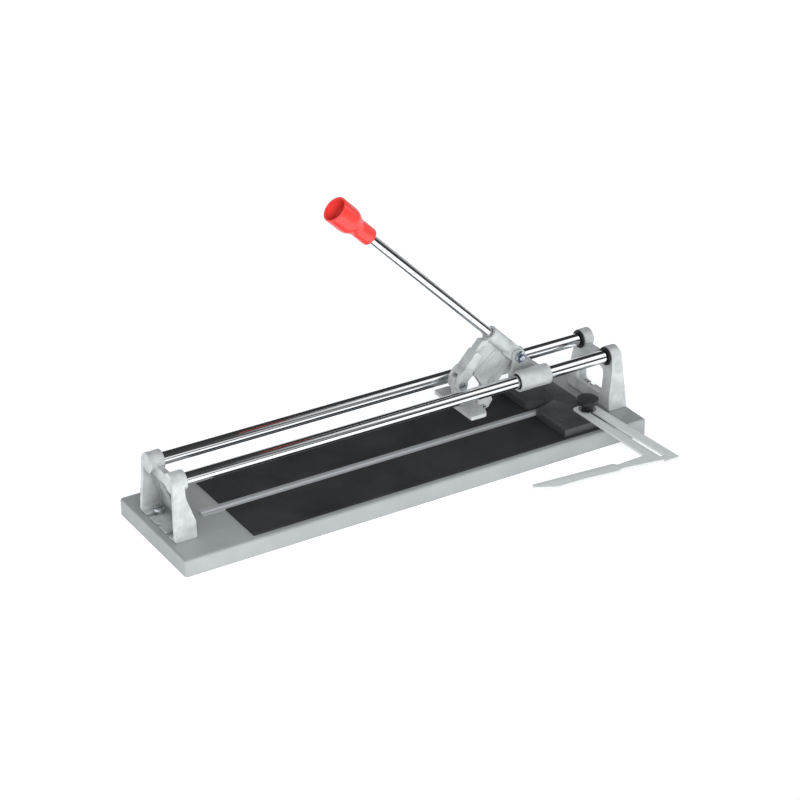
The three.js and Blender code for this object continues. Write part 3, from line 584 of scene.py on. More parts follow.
def rail_support(name, foot_outer, foot_inner, knee, shoulder, shoulder_height, top_outer,
                 beam_outer, boss_inner, screw_at, web_top, sill, window_top):
    """A support seen from its own end of the base: x runs inwards, and z up from the base."""
    turn = math.pi - math.asin((web_top - BOSS_HEIGHT) / BOSS_RADIUS)
    front = [(-FOOT_HALF, 0), (FOOT_HALF, 0)]
    for sign, start, end in ((1, 0, turn), (-1, math.pi - turn, math.pi)):
        for i in range(BOSS_STEPS + 1):
            angle = start + (end - start) * i / BOSS_STEPS
            front.append((sign * RAIL_Y + BOSS_RADIUS * math.cos(angle),
                          BOSS_HEIGHT + BOSS_RADIUS * math.sin(angle)))
    side = [(foot_outer, 0), (foot_inner, 0), (foot_inner, knee), (shoulder, shoulder_height),
            (shoulder, ABOVE), (top_outer, ABOVE)]
    casting = combined(prism(name, front, "x", -THROUGH, THROUGH),
                       prism("side", eased(side, 2.5, 3), "y", -THROUGH, THROUGH), "INTERSECT")
    narrow = RAIL_Y + BOSS_RADIUS - CHEEK
    hollow = eased([(CHEEK - FOOT_HALF, FLOOR_THICK), (FOOT_HALF - CHEEK, FLOOR_THICK),
                    (narrow, CAVITY_TOP), (-narrow, CAVITY_TOP)], 6)
    hollow_side = [(-20, FLOOR_THICK), (foot_inner - WALL_THICK, FLOOR_THICK),
                   (foot_inner - WALL_THICK, knee), (shoulder - WALL_THICK, shoulder_height),
                   (shoulder - WALL_THICK, ABOVE), (-20, ABOVE)]
    cavity = combined(prism("cavity", hollow, "x", -50, 50),
                      prism("side", hollow_side, "y", -THROUGH, THROUGH), "INTERSECT")
    combined(casting, cavity, "DIFFERENCE")
    upper = [(narrow + 1, CAVITY_TOP / 2), (narrow, ABOVE), (-narrow, ABOVE),
             (-narrow - 1, CAVITY_TOP / 2)]
    combined(casting, prism("upper", upper, "x", -20, beam_outer), "DIFFERENCE")
    window = eased([(-SILL_HALF, sill), (SILL_HALF, sill), (HEAD_HALF, window_top),
                    (-HEAD_HALF, window_top)], WINDOW_EASE, 8)
    combined(casting, prism("window", window, "x", 2, THROUGH), "DIFFERENCE")
    for y in (-RAIL_Y, RAIL_Y):
        combined(casting, round_bar("x", y, BOSS_HEIGHT, BOSS_RADIUS, top_outer, boss_inner), "UNION")
        combined(casting, round_bar("x", y, BOSS_HEIGHT, RAIL_RADIUS + SEAT_GAP, top_outer + BOSS_CAP,
                                    THROUGH), "DIFFERENCE")
    for y in (-SUPPORT_SCREW_Y, SUPPORT_SCREW_Y):
        combined(casting, round_bar("z", screw_at, y, SCREW_SLOT, -1, FLOOR_THICK + 1), "DIFFERENCE")
        combined(casting, block(-1, screw_at, y - SCREW_SLOT, y + SCREW_SLOT, -1, FLOOR_THICK + 1),
                 "DIFFERENCE")
    combined(casting, round_bar("z", foot_outer, 0, NOTCH, -1, FLOOR_THICK + 1), "DIFFERENCE")
    return cast_skin(casting, SAND_VOXEL, SKIN_PASSES)


left_support = rail_support(
    "left_rail_support", foot_outer=7.5, foot_inner=36.5, knee=20.5, shoulder=26, shoulder_height=53.7,
    top_outer=12, beam_outer=19, boss_inner=30.5, screw_at=22.9, web_top=68.5, sill=18.5, window_top=49)
right_support = rail_support(
    "right_rail_support", foot_outer=1.5, foot_inner=29, knee=17, shoulder=22.9, shoulder_height=54,
    top_outer=9.5, beam_outer=16, boss_inner=23, screw_at=17.4, web_top=68.5, sill=17.7, window_top=51)
left_support.data.transform(Matrix.Translation((tray_low[0], 0, base_top)))
half_turn = Matrix.Rotation(math.pi, 4, "Z")
right_support.data.transform(Matrix.Translation((tray_high[0], 0, base_top)) @ half_turn)
finished(left_support, casting_metal, "frame", "cast_aluminium", "left_support", smooth=180)
finished(right_support, casting_metal, "frame", "cast_aluminium", "right_support", smooth=180)


# ---------------------------------------------------------------------------
# Support screws. Four zinc plated pan head screws with a straight slot, standing on the floor
# flanges, and a nut for each under the base. One tree makes the set at the corners of a grid.

def zinc_plate():
    """Bright zinc on steel: a cool, slightly cloudy metal with a faint bluish cast."""
    material, tree, shader, place = new_material("bright zinc plate")
    shader.inputs["Metallic"].default_value = 1.0
    cloud = grain(tree, place, 2.2, 3)
    tree.links.new(shade_between(tree, cloud, "#b4bbc0", "#d3d7da"), shader.inputs["Base Color"])
    tree.links.new(value_between(tree, cloud, 0.2, 0.34), shader.inputs["Roughness"])
    relief(tree, shader, grain(tree, place, 0.7), 0.008)
    return material


def grid_tree(name, sizes):
    """A geometry tree that puts one shape at the corners of a grid, with its sizes as inputs."""
    tree = bpy.data.node_groups.new(name, "GeometryNodeTree")
    tree.interface.new_socket("Geometry", in_out="OUTPUT", socket_type="NodeSocketGeometry")
    for label, value in sizes.items():
        socket = tree.interface.new_socket(label, in_out="INPUT", socket_type="NodeSocketFloat")
        socket.default_value = value
    tree.interface.new_socket("Material", in_out="INPUT", socket_type="NodeSocketMaterial")
    entry = add_node(tree, "NodeGroupInput")
    corners = add_node(tree, "GeometryNodeMeshGrid", {
        "Size X": entry.outputs["Grid X"], "Size Y": entry.outputs["Grid Y"],
        "Vertices X": 2, "Vertices Y": 2})
    return tree, entry, corners.outputs["Mesh"]


def placed_on_grid(tree, entry, corners, shape):
    """Puts the shape at every corner, makes it real and gives it its material."""
    spread = add_node(tree, "GeometryNodeInstanceOnPoints", {"Points": corners, "Instance": shape})
    real = add_node(tree, "GeometryNodeRealizeInstances", {"Geometry": spread.outputs["Instances"]})
    painted = add_node(tree, "GeometryNodeSetMaterial", {
        "Geometry": real.outputs["Geometry"], "Material": entry.outputs["Material"]})
    add_node(tree, "NodeGroupOutput", {"Geometry": painted.outputs["Geometry"]})


def shifted(tree, shape, z):
    """The shape moved up by z."""
    place = add_node(tree, "ShaderNodeCombineXYZ", {"Z": z})
    return add_node(tree, "GeometryNodeTransform", {
        "Geometry": shape, "Translation": place.outputs["Vector"]}).outputs["Geometry"]


DOME, SLOT_LEVEL, SHANK_SINK = 1.16, 1.28, -0.499


def screw_set():
    """Pan heads: a barrel cut to a dome, with a straight slot, joined to a plain shank."""
    tree, entry, corners = grid_tree("pan head screws", {
        "Grid X": 0.6, "Grid Y": 0.05, "Head radius": 6.9 * MM, "Head height": 6 * MM,
        "Shank radius": 3 * MM, "Shank length": 11.5 * MM, "Slot width": 1.2 * MM})
    barrel = add_node(tree, "GeometryNodeMeshCylinder", {
        "Vertices": 48, "Radius": entry.outputs["Head radius"], "Depth": entry.outputs["Head height"]})
    ball_radius = scaled(tree, entry.outputs["Head radius"], DOME)
    ball = add_node(tree, "GeometryNodeMeshUVSphere", {
        "Segments": 64, "Rings": 48, "Radius": ball_radius})
    below = add_node(tree, "ShaderNodeMath", {
        0: entry.outputs["Head height"], 1: ball_radius}, operation="SUBTRACT")
    dome = shifted(tree, ball.outputs["Mesh"], below.outputs[0])
    cutter = add_node(tree, "ShaderNodeCombineXYZ", {
        "X": scaled(tree, entry.outputs["Head radius"], 3.0), "Y": entry.outputs["Slot width"],
        "Z": entry.outputs["Head height"]})
    slot = add_node(tree, "GeometryNodeMeshCube", {"Size": cutter.outputs["Vector"]})
    slot_height = scaled(tree, entry.outputs["Head height"], SLOT_LEVEL)
    raised_slot = shifted(tree, slot.outputs["Mesh"], slot_height)
    raised = shifted(tree, barrel.outputs["Mesh"], scaled(tree, entry.outputs["Head height"], 0.5))
    head = add_node(tree, "GeometryNodeMeshBoolean", operation="INTERSECT")
    tree.links.new(raised, head.inputs["Mesh 2"])
    tree.links.new(dome, head.inputs["Mesh 2"])
    cut = add_node(tree, "GeometryNodeMeshBoolean", {"Mesh 1": head.outputs["Mesh"]},
                   operation="DIFFERENCE")
    tree.links.new(raised_slot, cut.inputs["Mesh 2"])
    shank = add_node(tree, "GeometryNodeMeshCylinder", {
        "Vertices": 32, "Radius": entry.outputs["Shank radius"], "Depth": entry.outputs["Shank length"]})
    lowered = shifted(tree, shank.outputs["Mesh"], scaled(tree, entry.outputs["Shank length"], SHANK_SINK))
    whole = add_node(tree, "GeometryNodeMeshBoolean", operation="UNION")
    tree.links.new(cut.outputs["Mesh"], whole.inputs["Mesh 2"])
    tree.links.new(lowered, whole.inputs["Mesh 2"])
    placed_on_grid(tree, entry, corners, whole.outputs["Mesh"])
    return tree


def nut_set():
    """Plain hexagons with a through bore."""
    tree, entry, corners = grid_tree("hexagon nuts", {
        "Grid X": 0.6, "Grid Y": 0.05, "Corner radius": 5.77 * MM, "Height": 5 * MM,
        "Bore radius": 3.25 * MM})
    hexagon = add_node(tree, "GeometryNodeMeshCylinder", {
        "Vertices": 6, "Radius": entry.outputs["Corner radius"], "Depth": entry.outputs["Height"]})
    bore = add_node(tree, "GeometryNodeMeshCylinder", {
        "Vertices": 32, "Radius": entry.outputs["Bore radius"],
        "Depth": scaled(tree, entry.outputs["Height"], 2.0)})
    cut = add_node(tree, "GeometryNodeMeshBoolean", {"Mesh 1": hexagon.outputs["Mesh"]},
                   operation="DIFFERENCE")
    tree.links.new(bore.outputs["Mesh"], cut.inputs["Mesh 2"])
    placed_on_grid(tree, entry, corners, cut.outputs["Mesh"])
    return tree


def grown(name, tree, values, place):
    """Runs a geometry tree, keeps its result as a plain mesh and moves it to its place."""
    piece = bpy.data.objects.new(name, bpy.data.meshes.new(name))
    bpy.context.scene.collection.objects.link(piece)
    growth = piece.modifiers.new("growth", "NODES")
    growth.node_group = tree
    for item in tree.interface.items_tree:
        if item.in_out == "INPUT" and item.name in values:
            growth[item.identifier] = values[item.name]
    settled(piece)
    piece.data.transform(Matrix.Translation(place))
    return piece


def middle_of(node):
    """The middle of a CAD node's box."""
    low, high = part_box(node)
    return [(a + b) / 2 for a, b in zip(low, high)]


zinc = zinc_plate()
screw_left = middle_of("support_screw_left_front")
screw_right = middle_of("support_screw_right_rear")
grid_values = {"Grid X": screw_right[0] - screw_left[0], "Grid Y": screw_right[1] - screw_left[1],
               "Material": zinc}
grid_middle = [(a + b) / 2 for a, b in zip(screw_left, screw_right)]
corner_names = [f"{end}_{row}" for end in ("left", "right") for row in ("front", "rear")]
screws = grown("support_screws", screw_set(), grid_values,
               (grid_middle[0], grid_middle[1], base_top + FLOOR_THICK * MM))
finished(rounded(screws, 0.15, 2, 50), zinc, "frame", "zinc_steel",
         *[f"support_screw_{corner}" for corner in corner_names])
nut_height = middle_of("support_nut_left_front")[2]
nuts = grown("support_nuts", nut_set(), grid_values, (grid_middle[0], grid_middle[1], nut_height))
finished(rounded(nuts, 0.4, 2, 50), zinc, "frame", "zinc_steel",
         *[f"support_nut_{corner}" for corner in corner_names])


# ---------------------------------------------------------------------------
# Measuring plate. A moulded slab of black nylon with a V notch for the scoring wheel. Its skin is
# satin, and its left edge has a pad printed scale in two rows, one on each side of the notch.

def satin_nylon():
    """Moulded black nylon: charcoal rather than black, with a satin sheen that mirrors big shapes."""
    material, tree, shader, place = new_material("satin black nylon")
    tree.links.new(shade_between(tree, grain(tree, place, 30, 4), "#2c302f", "#363a39"),
                   shader.inputs["Base Color"])
    tree.links.new(value_between(tree, grain(tree, place, 5), 0.26, 0.36), shader.inputs["Roughness"])
    relief(tree, shader, grain(tree, place, 0.7), 0.02)
    return material


plate_low, plate_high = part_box("measuring_plate")
NOTCH_HALF, NOTCH_DEPTH = 11.5, 34.5
MARK_COUNT, MARK_INSET, EDGE_GAP, NOTCH_GAP = 28, 7, 6, 4
left, right_side = plate_low[0] / MM, plate_high[0] / MM
half = plate_high[1] / MM
plate_outline = [
    (left, -half), (right_side, -half), (right_side, half), (left, half), (left, NOTCH_HALF),
    (left + NOTCH_DEPTH, 0), (left, -NOTCH_HALF)]
slab = prism("measuring_plate_slab", eased(plate_outline, 1.2, 4), "z", plate_low[2] / MM,
             plate_high[2] / MM)
nylon = satin_nylon()
finished(rounded(slab, 0.6, 3, 40), nylon, "frame", "dark_plate", "measuring_plate")


def scale_tree():
    """Short printed bars in a row, every fifth one twice as long."""
    tree = bpy.data.node_groups.new("scale marks", "GeometryNodeTree")
    tree.interface.new_socket("Geometry", in_out="OUTPUT", socket_type="NodeSocketGeometry")
    for label, kind, value in (
            ("Marks", "NodeSocketInt", 30), ("Spacing", "NodeSocketFloat", 2 * MM),
            ("Length", "NodeSocketFloat", 3 * MM), ("Line", "NodeSocketFloat", 0.4 * MM),
            ("Film", "NodeSocketFloat", 0.04 * MM)):
        tree.interface.new_socket(label, in_out="INPUT", socket_type=kind).default_value = value
    tree.interface.new_socket("Material", in_out="INPUT", socket_type="NodeSocketMaterial")
    entry = add_node(tree, "NodeGroupInput")
    step = add_node(tree, "ShaderNodeCombineXYZ", {"Y": entry.outputs["Spacing"]})
    row = add_node(tree, "GeometryNodeMeshLine", {
        "Count": entry.outputs["Marks"], "Offset": step.outputs["Vector"]})
    size = add_node(tree, "ShaderNodeCombineXYZ", {
        "X": entry.outputs["Length"], "Y": entry.outputs["Line"], "Z": entry.outputs["Film"]})
    mark = add_node(tree, "GeometryNodeMeshCube", {"Size": size.outputs["Vector"]})
    number = add_node(tree, "GeometryNodeInputIndex")
    fifth = add_node(tree, "ShaderNodeMath", {0: number.outputs["Index"], 1: 5.0}, operation="MODULO")
    first = add_node(tree, "ShaderNodeMath", {0: fifth.outputs[0], 1: 0.5}, operation="LESS_THAN")
    grow = add_node(tree, "ShaderNodeMath", {0: first.outputs[0], 1: 1.0}, operation="ADD")
    stretch = add_node(tree, "ShaderNodeCombineXYZ", {"X": grow.outputs[0], "Y": 1.0, "Z": 1.0})
    spread = add_node(tree, "GeometryNodeInstanceOnPoints", {
        "Points": row.outputs["Mesh"], "Instance": mark.outputs["Mesh"],
        "Scale": stretch.outputs["Vector"]})
    real = add_node(tree, "GeometryNodeRealizeInstances", {"Geometry": spread.outputs["Instances"]})
    painted = add_node(tree, "GeometryNodeSetMaterial", {
        "Geometry": real.outputs["Geometry"], "Material": entry.outputs["Material"]})
    add_node(tree, "NodeGroupOutput", {"Geometry": painted.outputs["Geometry"]})
    return tree


def printing_ink():
    """Pad printed ink: a thin, flat film a shade darker and duller than the nylon."""
    material, tree, shader, place = new_material("black printing ink")
    tree.links.new(shade_between(tree, grain(tree, place, 1), "#151718", "#1d1f20"),
                   shader.inputs["Base Color"])
    shader.inputs["Roughness"].default_value = 0.5
    return material


ink = printing_ink()
marks = scale_tree()
for side, start in (("front", -half + EDGE_GAP), ("rear", NOTCH_HALF + NOTCH_GAP)):
    row = grown(f"{side}_scale_marks", marks, {"Marks": MARK_COUNT, "Material": ink},
                ((left + MARK_INSET) * MM, start * MM, plate_high[2] + 0.02 * MM))
    finished(row, ink, "frame", "dark_plate")


# ---------------------------------------------------------------------------
# Square. A flat arm cut from 3 mm aluminium plate, brushed along its length, with a long slot.
# It lies on the measuring plate and its outer leg is the fence for the tile.

def brushed_plate():
    """Rolled aluminium brushed along the arm: pale, with fine streaks and a broad dull shine."""
    material, tree, shader, place = new_material("brushed aluminium plate")
    lines = add_node(tree, "ShaderNodeMapping", {"Vector": place, "Scale": (700, 25, 700)})
    streak = grain(tree, lines.outputs["Vector"], 1000, 4)
    shader.inputs["Metallic"].default_value = 0.2
    tree.links.new(shade_between(tree, streak, "#b6b9b7", "#bfc2c0"), shader.inputs["Base Color"])
    tree.links.new(value_between(tree, streak, 0.42, 0.58), shader.inputs["Roughness"])
    relief(tree, shader, streak, 0.02)
    return material


arm_low, arm_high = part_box("square_arm")
STUD = Vector((0.255, -0.05, 0))
SQUARE_TURN = math.radians(3.1)
SLOT_HALF, SLOT_START, SLOT_END, SLOT_STEPS = 3, 3, -142, 12
arm_outline = [
    (-12.3, 13.5), (14.2, 13.5), (15.1, 1), (16.1, -157), (-5.5, -156.5), (-3.7, -153),
    (-36, -145.8), (-57.7, -141), (-66.3, -143), (-110, -135), (-148, -131.5), (-170, -117.3),
    (-169.3, -110.6), (-60, -125.7), (-58.2, -130.6), (-17.1, -131.3)]
arm = prism("square_plate", eased(arm_outline, 2, 4), "z", arm_low[2] / MM, arm_high[2] / MM)
half_circle = [math.pi * i / SLOT_STEPS for i in range(SLOT_STEPS + 1)]
slot_outline = [(SLOT_HALF * math.cos(a), SLOT_START + SLOT_HALF * math.sin(a)) for a in half_circle]
slot_outline += [(-SLOT_HALF * math.cos(a), SLOT_END - SLOT_HALF * math.sin(a)) for a in half_circle]
combined(arm, prism("slot", slot_outline, "z", 20, 50), "DIFFERENCE")
rounded(arm, 0.5, 3, 40)
arm.data.transform(Matrix.Translation(STUD) @ Matrix.Rotation(SQUARE_TURN, 4, "Z"))
finished(arm, brushed_plate(), "square", "arm_metal", "square_arm")

for name in ("clamp_stud", "clamp_washer", "plate_screw_front", "plate_screw_rear"):
    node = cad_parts[name]
    node.data.materials.clear()
    node.data.materials.append(zinc)


# ---------------------------------------------------------------------------
# Clamp knob. Black glass filled nylon, moulded in one piece: a lobed stem for the fingers and a
# round cap with a slightly domed, finely grained top.

def grained_nylon():
    """Glass filled nylon from a grained mould: black and nearly matt, with a fine leathery grain."""
    material, tree, shader, place = new_material("grained black nylon")
    tree.links.new(shade_between(tree, grain(tree, place, 6, 3), "#17191a", "#212324"),
                   shader.inputs["Base Color"])
    tree.links.new(value_between(tree, grain(tree, place, 1), 0.4, 0.55), shader.inputs["Roughness"])
    relief(tree, shader, grain(tree, place, 0.5), 0.02)
    return material


knob_low, knob_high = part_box("clamp_knob")
knob_mm = knob_low[2] / MM
STEM, CAP, STEM_HEIGHT, CAP_HEIGHT, STUD_BORE = 7.4, 14, 8.2, 7, 2.3
LOBES, LOBE_DEPTH, LOBE_STEPS = 10, 0.7, 10
stem_outline = []
for i in range(LOBES * LOBE_STEPS):
    angle = 2 * math.pi * i / (LOBES * LOBE_STEPS)
    radius = STEM - LOBE_DEPTH * (1 + math.cos(LOBES * angle)) / 2
    stem_outline.append((radius * math.cos(angle), radius * math.sin(angle)))
stem = prism("clamp_knob_grip", stem_outline, "z", knob_mm, knob_mm + STEM_HEIGHT + 1)
cap_profile = eased([(0, STEM_HEIGHT), (CAP, STEM_HEIGHT), (CAP, STEM_HEIGHT + CAP_HEIGHT - 0.4),
                     (0, STEM_HEIGHT + CAP_HEIGHT)], 2.2, 6, closed=False)
combined(stem, turned("cap", cap_profile, "z", (0, 0, knob_mm), 96), "UNION")
combined(stem, round_bar("z", 0, 0, STUD_BORE, knob_mm - 1, knob_mm + STEM_HEIGHT + 0.3),
         "DIFFERENCE")
stem.data.transform(Matrix.Translation(STUD))
finished(rounded(stem, 0.25, 2, 50), grained_nylon(), "clamp_knob", "black_plastic", "clamp_knob")


# ---------------------------------------------------------------------------
# Carriage. One aluminium casting: two sleeves on the rails, a bridge between them and two ears
# that hold the lever. The same blasted metal as the supports.

SLEEVE, BUSH_SEAT, BUSH_DEPTH = 13, 10, 13.6
EAR_INNER, EAR_OUTER, EAR_RADIUS, PIVOT_BORE = 7.5, 12, 8.4, 4.3
BRIDGE_FROM, BRIDGE_LOW, BRIDGE_HIGH = 188, 84.5, 97.5
PIVOT_X, PIVOT_Z = 178, 115.5
car_low, car_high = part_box("carriage_casting")
car_left, car_right = car_low[0] / MM, car_high[0] / MM
bridge = block(BRIDGE_FROM, car_right - 1, -RAIL_Y, RAIL_Y, BRIDGE_LOW, BRIDGE_HIGH)
for side in (-1, 1):
    y = side * RAIL_Y
    combined(bridge, round_bar("x", y, RAIL_Z, SLEEVE, car_left, car_right), "UNION")
    inner, outer = sorted((y, side * EAR_INNER))
    combined(bridge, block(car_left + 1, car_right - 1, inner, outer, BRIDGE_LOW, BRIDGE_HIGH), "UNION")
    ear_outline = eased([
        (car_left + 2, BRIDGE_LOW), (car_right - 1, BRIDGE_LOW), (car_right - 1, BRIDGE_HIGH - 4),
        (car_right - 6, BRIDGE_HIGH),
        (PIVOT_X + 8.5, PIVOT_Z - 5.5), (PIVOT_X + 3.5, PIVOT_Z + 7.3), (PIVOT_X - 3.5, PIVOT_Z + 7.4),
        (PIVOT_X - 7, PIVOT_Z + 1), (car_left + 2, 90)], 3)
    inner, outer = sorted((side * EAR_INNER, side * EAR_OUTER))
    combined(bridge, prism("ear", ear_outline, "y", inner, outer), "UNION")
    combined(bridge, round_bar("y", PIVOT_X, PIVOT_Z, EAR_RADIUS, inner, outer), "UNION")
for y in (-RAIL_Y, RAIL_Y):
    combined(bridge, round_bar("x", y, RAIL_Z, BUSH_SEAT - 1, car_left - 1, car_right + 1), "DIFFERENCE")
    combined(bridge, round_bar("x", y, RAIL_Z, BUSH_SEAT, car_left - 1, car_left + BUSH_DEPTH),
             "DIFFERENCE")
    combined(bridge, round_bar("x", y, RAIL_Z, BUSH_SEAT, car_right - BUSH_DEPTH, car_right + 1),
             "DIFFERENCE")
combined(bridge, round_bar("y", PIVOT_X, PIVOT_Z, PIVOT_BORE, -13, 13), "DIFFERENCE")
bridge.name = "carriage_body"
cast_skin(bridge, SAND_VOXEL, SKIN_PASSES)
finished(bridge, casting_metal, "carriage", "cast_aluminium", "carriage_casting", smooth=180)


# ---------------------------------------------------------------------------
# Slide bushes. Black acetal rings pressed into both ends of each sleeve. They show as a dark ring
# round the rail, a little inside the mouth.

BUSH_BORE, BUSH_OUTER = 8.3, 9.7
acetal = moulded_black("black acetal")
for row_side, y in (("front", -RAIL_Y), ("rear", RAIL_Y)):
    for end in ("left", "right"):
        low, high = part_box(f"{row_side}_bush_{end}")
        x0, x1 = low[0] / MM, high[0] / MM
        profile = eased([(BUSH_BORE, x0), (BUSH_OUTER, x0), (BUSH_OUTER, x1), (BUSH_BORE, x1)], 0.4, 3)
        bush = turned(f"{row_side}_{end}_bush", profile, "x", (0, y, RAIL_Z), 72)
        finished(bush, acetal, "carriage", "bush_plastic", f"{row_side}_bush_{end}")


# ---------------------------------------------------------------------------
# Pivot bolt and nut. An M8 zinc plated bolt through the ears, its rounded end standing out of a
# self-locking nut whose nylon ring shows as a blue edge.

def hexagon_points(flats):
    """The six corners of a hexagon of a width across its flats, turned a little."""
    corner = flats / 2 / math.cos(math.pi / 6)
    return [(corner * math.cos(math.radians(60 * i + 12)), corner * math.sin(math.radians(60 * i + 12)))
            for i in range(6)]


def hex_body(name, flats, low, high, chamfer):
    """A hexagon across Y whose corners are turned off at both ends, as on a real nut."""
    body = prism(name, hexagon_points(flats), "y", low, high)
    corner = flats / 2 / math.cos(math.pi / 6)
    cone = [(0, low), (flats / 2 - 0.2, low), (corner + 0.1, low + chamfer), (corner + 0.1, high - chamfer),
            (flats / 2 - 0.2, high), (0, high)]
    return combined(body, turned("cone", cone, "y", (0, 0, 0), 64), "INTERSECT")


NUT_FLATS, NUT_HEIGHT, BOLT_RADIUS, HEAD_HEIGHT, BOLT_STANDS_OUT = 13, 6.6, 4, 5.2, 1.4
to_pivot = Matrix.Translation((PIVOT_X * MM, 0, PIVOT_Z * MM))
bolt = hex_body("pivot_bolt_m8", NUT_FLATS, EAR_OUTER, EAR_OUTER + HEAD_HEIGHT, 1)
bolt_end = -EAR_OUTER - NUT_HEIGHT - BOLT_STANDS_OUT
shank_profile = eased([(0, bolt_end), (BOLT_RADIUS, bolt_end), (BOLT_RADIUS, EAR_OUTER + 2),
                       (0, EAR_OUTER + 2)], 1.1, 4, closed=False)
combined(bolt, turned("shank", shank_profile, "y", (0, 0, 0), 48), "UNION")
bolt.data.transform(to_pivot)
finished(rounded(bolt, 0.2, 2, 40), zinc, "carriage", "zinc_steel", "pivot_bolt")

nut = hex_body("pivot_lock_nut", NUT_FLATS, -EAR_OUTER - 4.8, -EAR_OUTER, 1)
collar = [(0, -EAR_OUTER - 6), (5.2, -EAR_OUTER - 6), (5.7, -EAR_OUTER - 4), (0, -EAR_OUTER - 4)]
combined(nut, turned("collar", eased(collar, 0.5, 3, closed=False), "y", (0, 0, 0), 48), "UNION")
combined(nut, round_bar("y", 0, 0, PIVOT_BORE, -30, 0), "DIFFERENCE")
nut.data.transform(to_pivot)
finished(rounded(nut, 0.15, 2, 40), zinc, "carriage", "zinc_steel", "pivot_nut")


def blue_nylon():
    """The locking ring of the nut: dyed nylon, dark blue and waxy."""
    material, tree, shader, place = new_material("blue nylon insert")
    tree.links.new(shade_between(tree, grain(tree, place, 1.5), "#2b3060", "#383e74"),
                   shader.inputs["Base Color"])
    shader.inputs["Roughness"].default_value = 0.45
    return material


insert_profile = eased([(4.15, -18.5), (5.1, -18.5), (5.1, -17.6), (4.15, -17.6)], 0.2, 2)
insert = turned("lock_nut_insert", insert_profile, "y", (PIVOT_X, 0, PIVOT_Z), 48)
finished(insert, blue_nylon(), "carriage", "bush_plastic")


# ---------------------------------------------------------------------------
# Lever casting. A socket for the rod, a thin web stiffened by a rim and two ribs, a fork for the
# breaker foot and a small fork for the wheel. Drawn about the pivot, then set on it.

TILT = math.pi / 4
ROD_RADIUS, ROD_FROM, ROD_END, ROD_GAP = 6, 22.3, 325, 0.3


def on_rod(along, above):
    """The point at a distance along the rod from the pivot, and a distance above the rod."""
    return (-along * math.cos(TILT) + above * math.sin(TILT),
            along * math.sin(TILT) + above * math.cos(TILT))


def laid_on_rod(piece):
    """Turns a body that stands on the Z axis onto the axis of the rod."""
    piece.data.transform(Matrix.Rotation(-TILT, 4, "Y"))
    return piece


def strip(start, end, thick):
    """The outline of a straight rib between two points."""
    a, b = Vector(start), Vector(end)
    n = (b - a).normalized().orthogonal() * thick / 2
    return [tuple(a + n), tuple(b + n), tuple(b - n), tuple(a - n)]


# Half widths across Y of the parts of the casting, and the radius of the fork's eye.
WEB, RIM, RIB, FORK, SHOULDER, HOLDER, NECK, FORK_EYE = 3.5, 5.5, 5, 10, 8.5, 6, 7, 8.7
# The gap of the fork, of the wheel holder, and the bores of their pins.
FORK_CLEAR, FORK_GAP, WHEEL_GAP, PIN_BORE, AXLE_BORE = 14, 5, 1.9, 3.3, 2.3
TUBE_FROM, TUBE_TO, TUBE_RADIUS, NECK_WIDE = 14, 52, 10, 9.7
WHEEL_AT, WHEEL_RADIUS = (-49, -58.5), 8
FOOT_AT = (-81, -19)
neck_outline = [on_rod(0, NECK_WIDE), on_rod(TUBE_FROM + 6, NECK_WIDE),
                on_rod(TUBE_FROM + 6, -NECK_WIDE), on_rod(0, -NECK_WIDE)]
web_outline = [
    on_rod(TUBE_FROM, 0), on_rod(TUBE_TO - 3, -4), (-48.5, 29), (-77, -2), (-72, -12), (-62, -8),
    (-57.4, -15.5), (-48.7, -30.9), (-55, -50), (-36, -50), (-26, -32), (-6, -8)]
rim_outline = [on_rod(TUBE_TO - 3, -8), (-49.5, 31.4), (-78.2, -0.4), (-81, -8), (-74, -6), (-48, 24),
               (-43, 22)]
fork_outline = [(-88.5, -12), (-84, -4), (-76, 2), (-68, -1), (-65, -9), (-73, -15.5), (-74.5, -24),
                (-81, -27.5), (-88, -24)]
shoulder_outline = [(-87, -10), (-59, 20.5), (-52, 13), (-66, -9)]
holder_outline = [(-56, -46), (-38, -44), (-34.3, -52.1), (-41, -61.5), (-53, -62.5), (-57, -57)]
lever = round_bar("y", 0, 0, NECK_WIDE, -NECK, NECK)
lever.name = "lever_body"
for points, reach, ease in (
        (neck_outline, NECK, 0.5), (web_outline, WEB, 0.5), (rim_outline, RIM, 1),
        (strip((-30, 12.5), (-62, -13.5), 3), RIB, 0.5), (strip((-14, -3.5), (-39, -29.5), 3), RIB, 0.5),
        (fork_outline, FORK, 3), (shoulder_outline, SHOULDER, 3), (holder_outline, HOLDER, 2)):
    combined(lever, prism("part", eased(points, ease, 4), "y", -reach, reach), "UNION")
combined(lever, round_bar("y", *FOOT_AT, FORK_EYE, -FORK, FORK), "UNION")
combined(lever, laid_on_rod(round_bar("z", 0, 0, TUBE_RADIUS, TUBE_FROM, TUBE_TO)), "UNION")
combined(lever, round_bar("y", *FOOT_AT, FORK_CLEAR, -FORK_GAP, FORK_GAP), "DIFFERENCE")
combined(lever, round_bar("y", *WHEEL_AT, WHEEL_RADIUS + 1, -WHEEL_GAP, WHEEL_GAP), "DIFFERENCE")
for at, bore in ((FOOT_AT, PIN_BORE), (WHEEL_AT, AXLE_BORE), ((0, 0), PIVOT_BORE)):
    combined(lever, round_bar("y", *at, bore, -20, 20), "DIFFERENCE")
combined(lever, laid_on_rod(round_bar("z", 0, 0, ROD_RADIUS + ROD_GAP, 22, 60)), "DIFFERENCE")
cast_skin(lever, DIE_VOXEL, SKIN_PASSES)
lever.data.transform(to_pivot)
finished(lever, casting_metal, "lever", "cast_aluminium", "lever_casting", smooth=180)


# ---------------------------------------------------------------------------
# Lever rod. A 12 mm steel bar with the same hard chrome as the rails. It sits in the socket of the
# casting at one end and in the grip at the other.

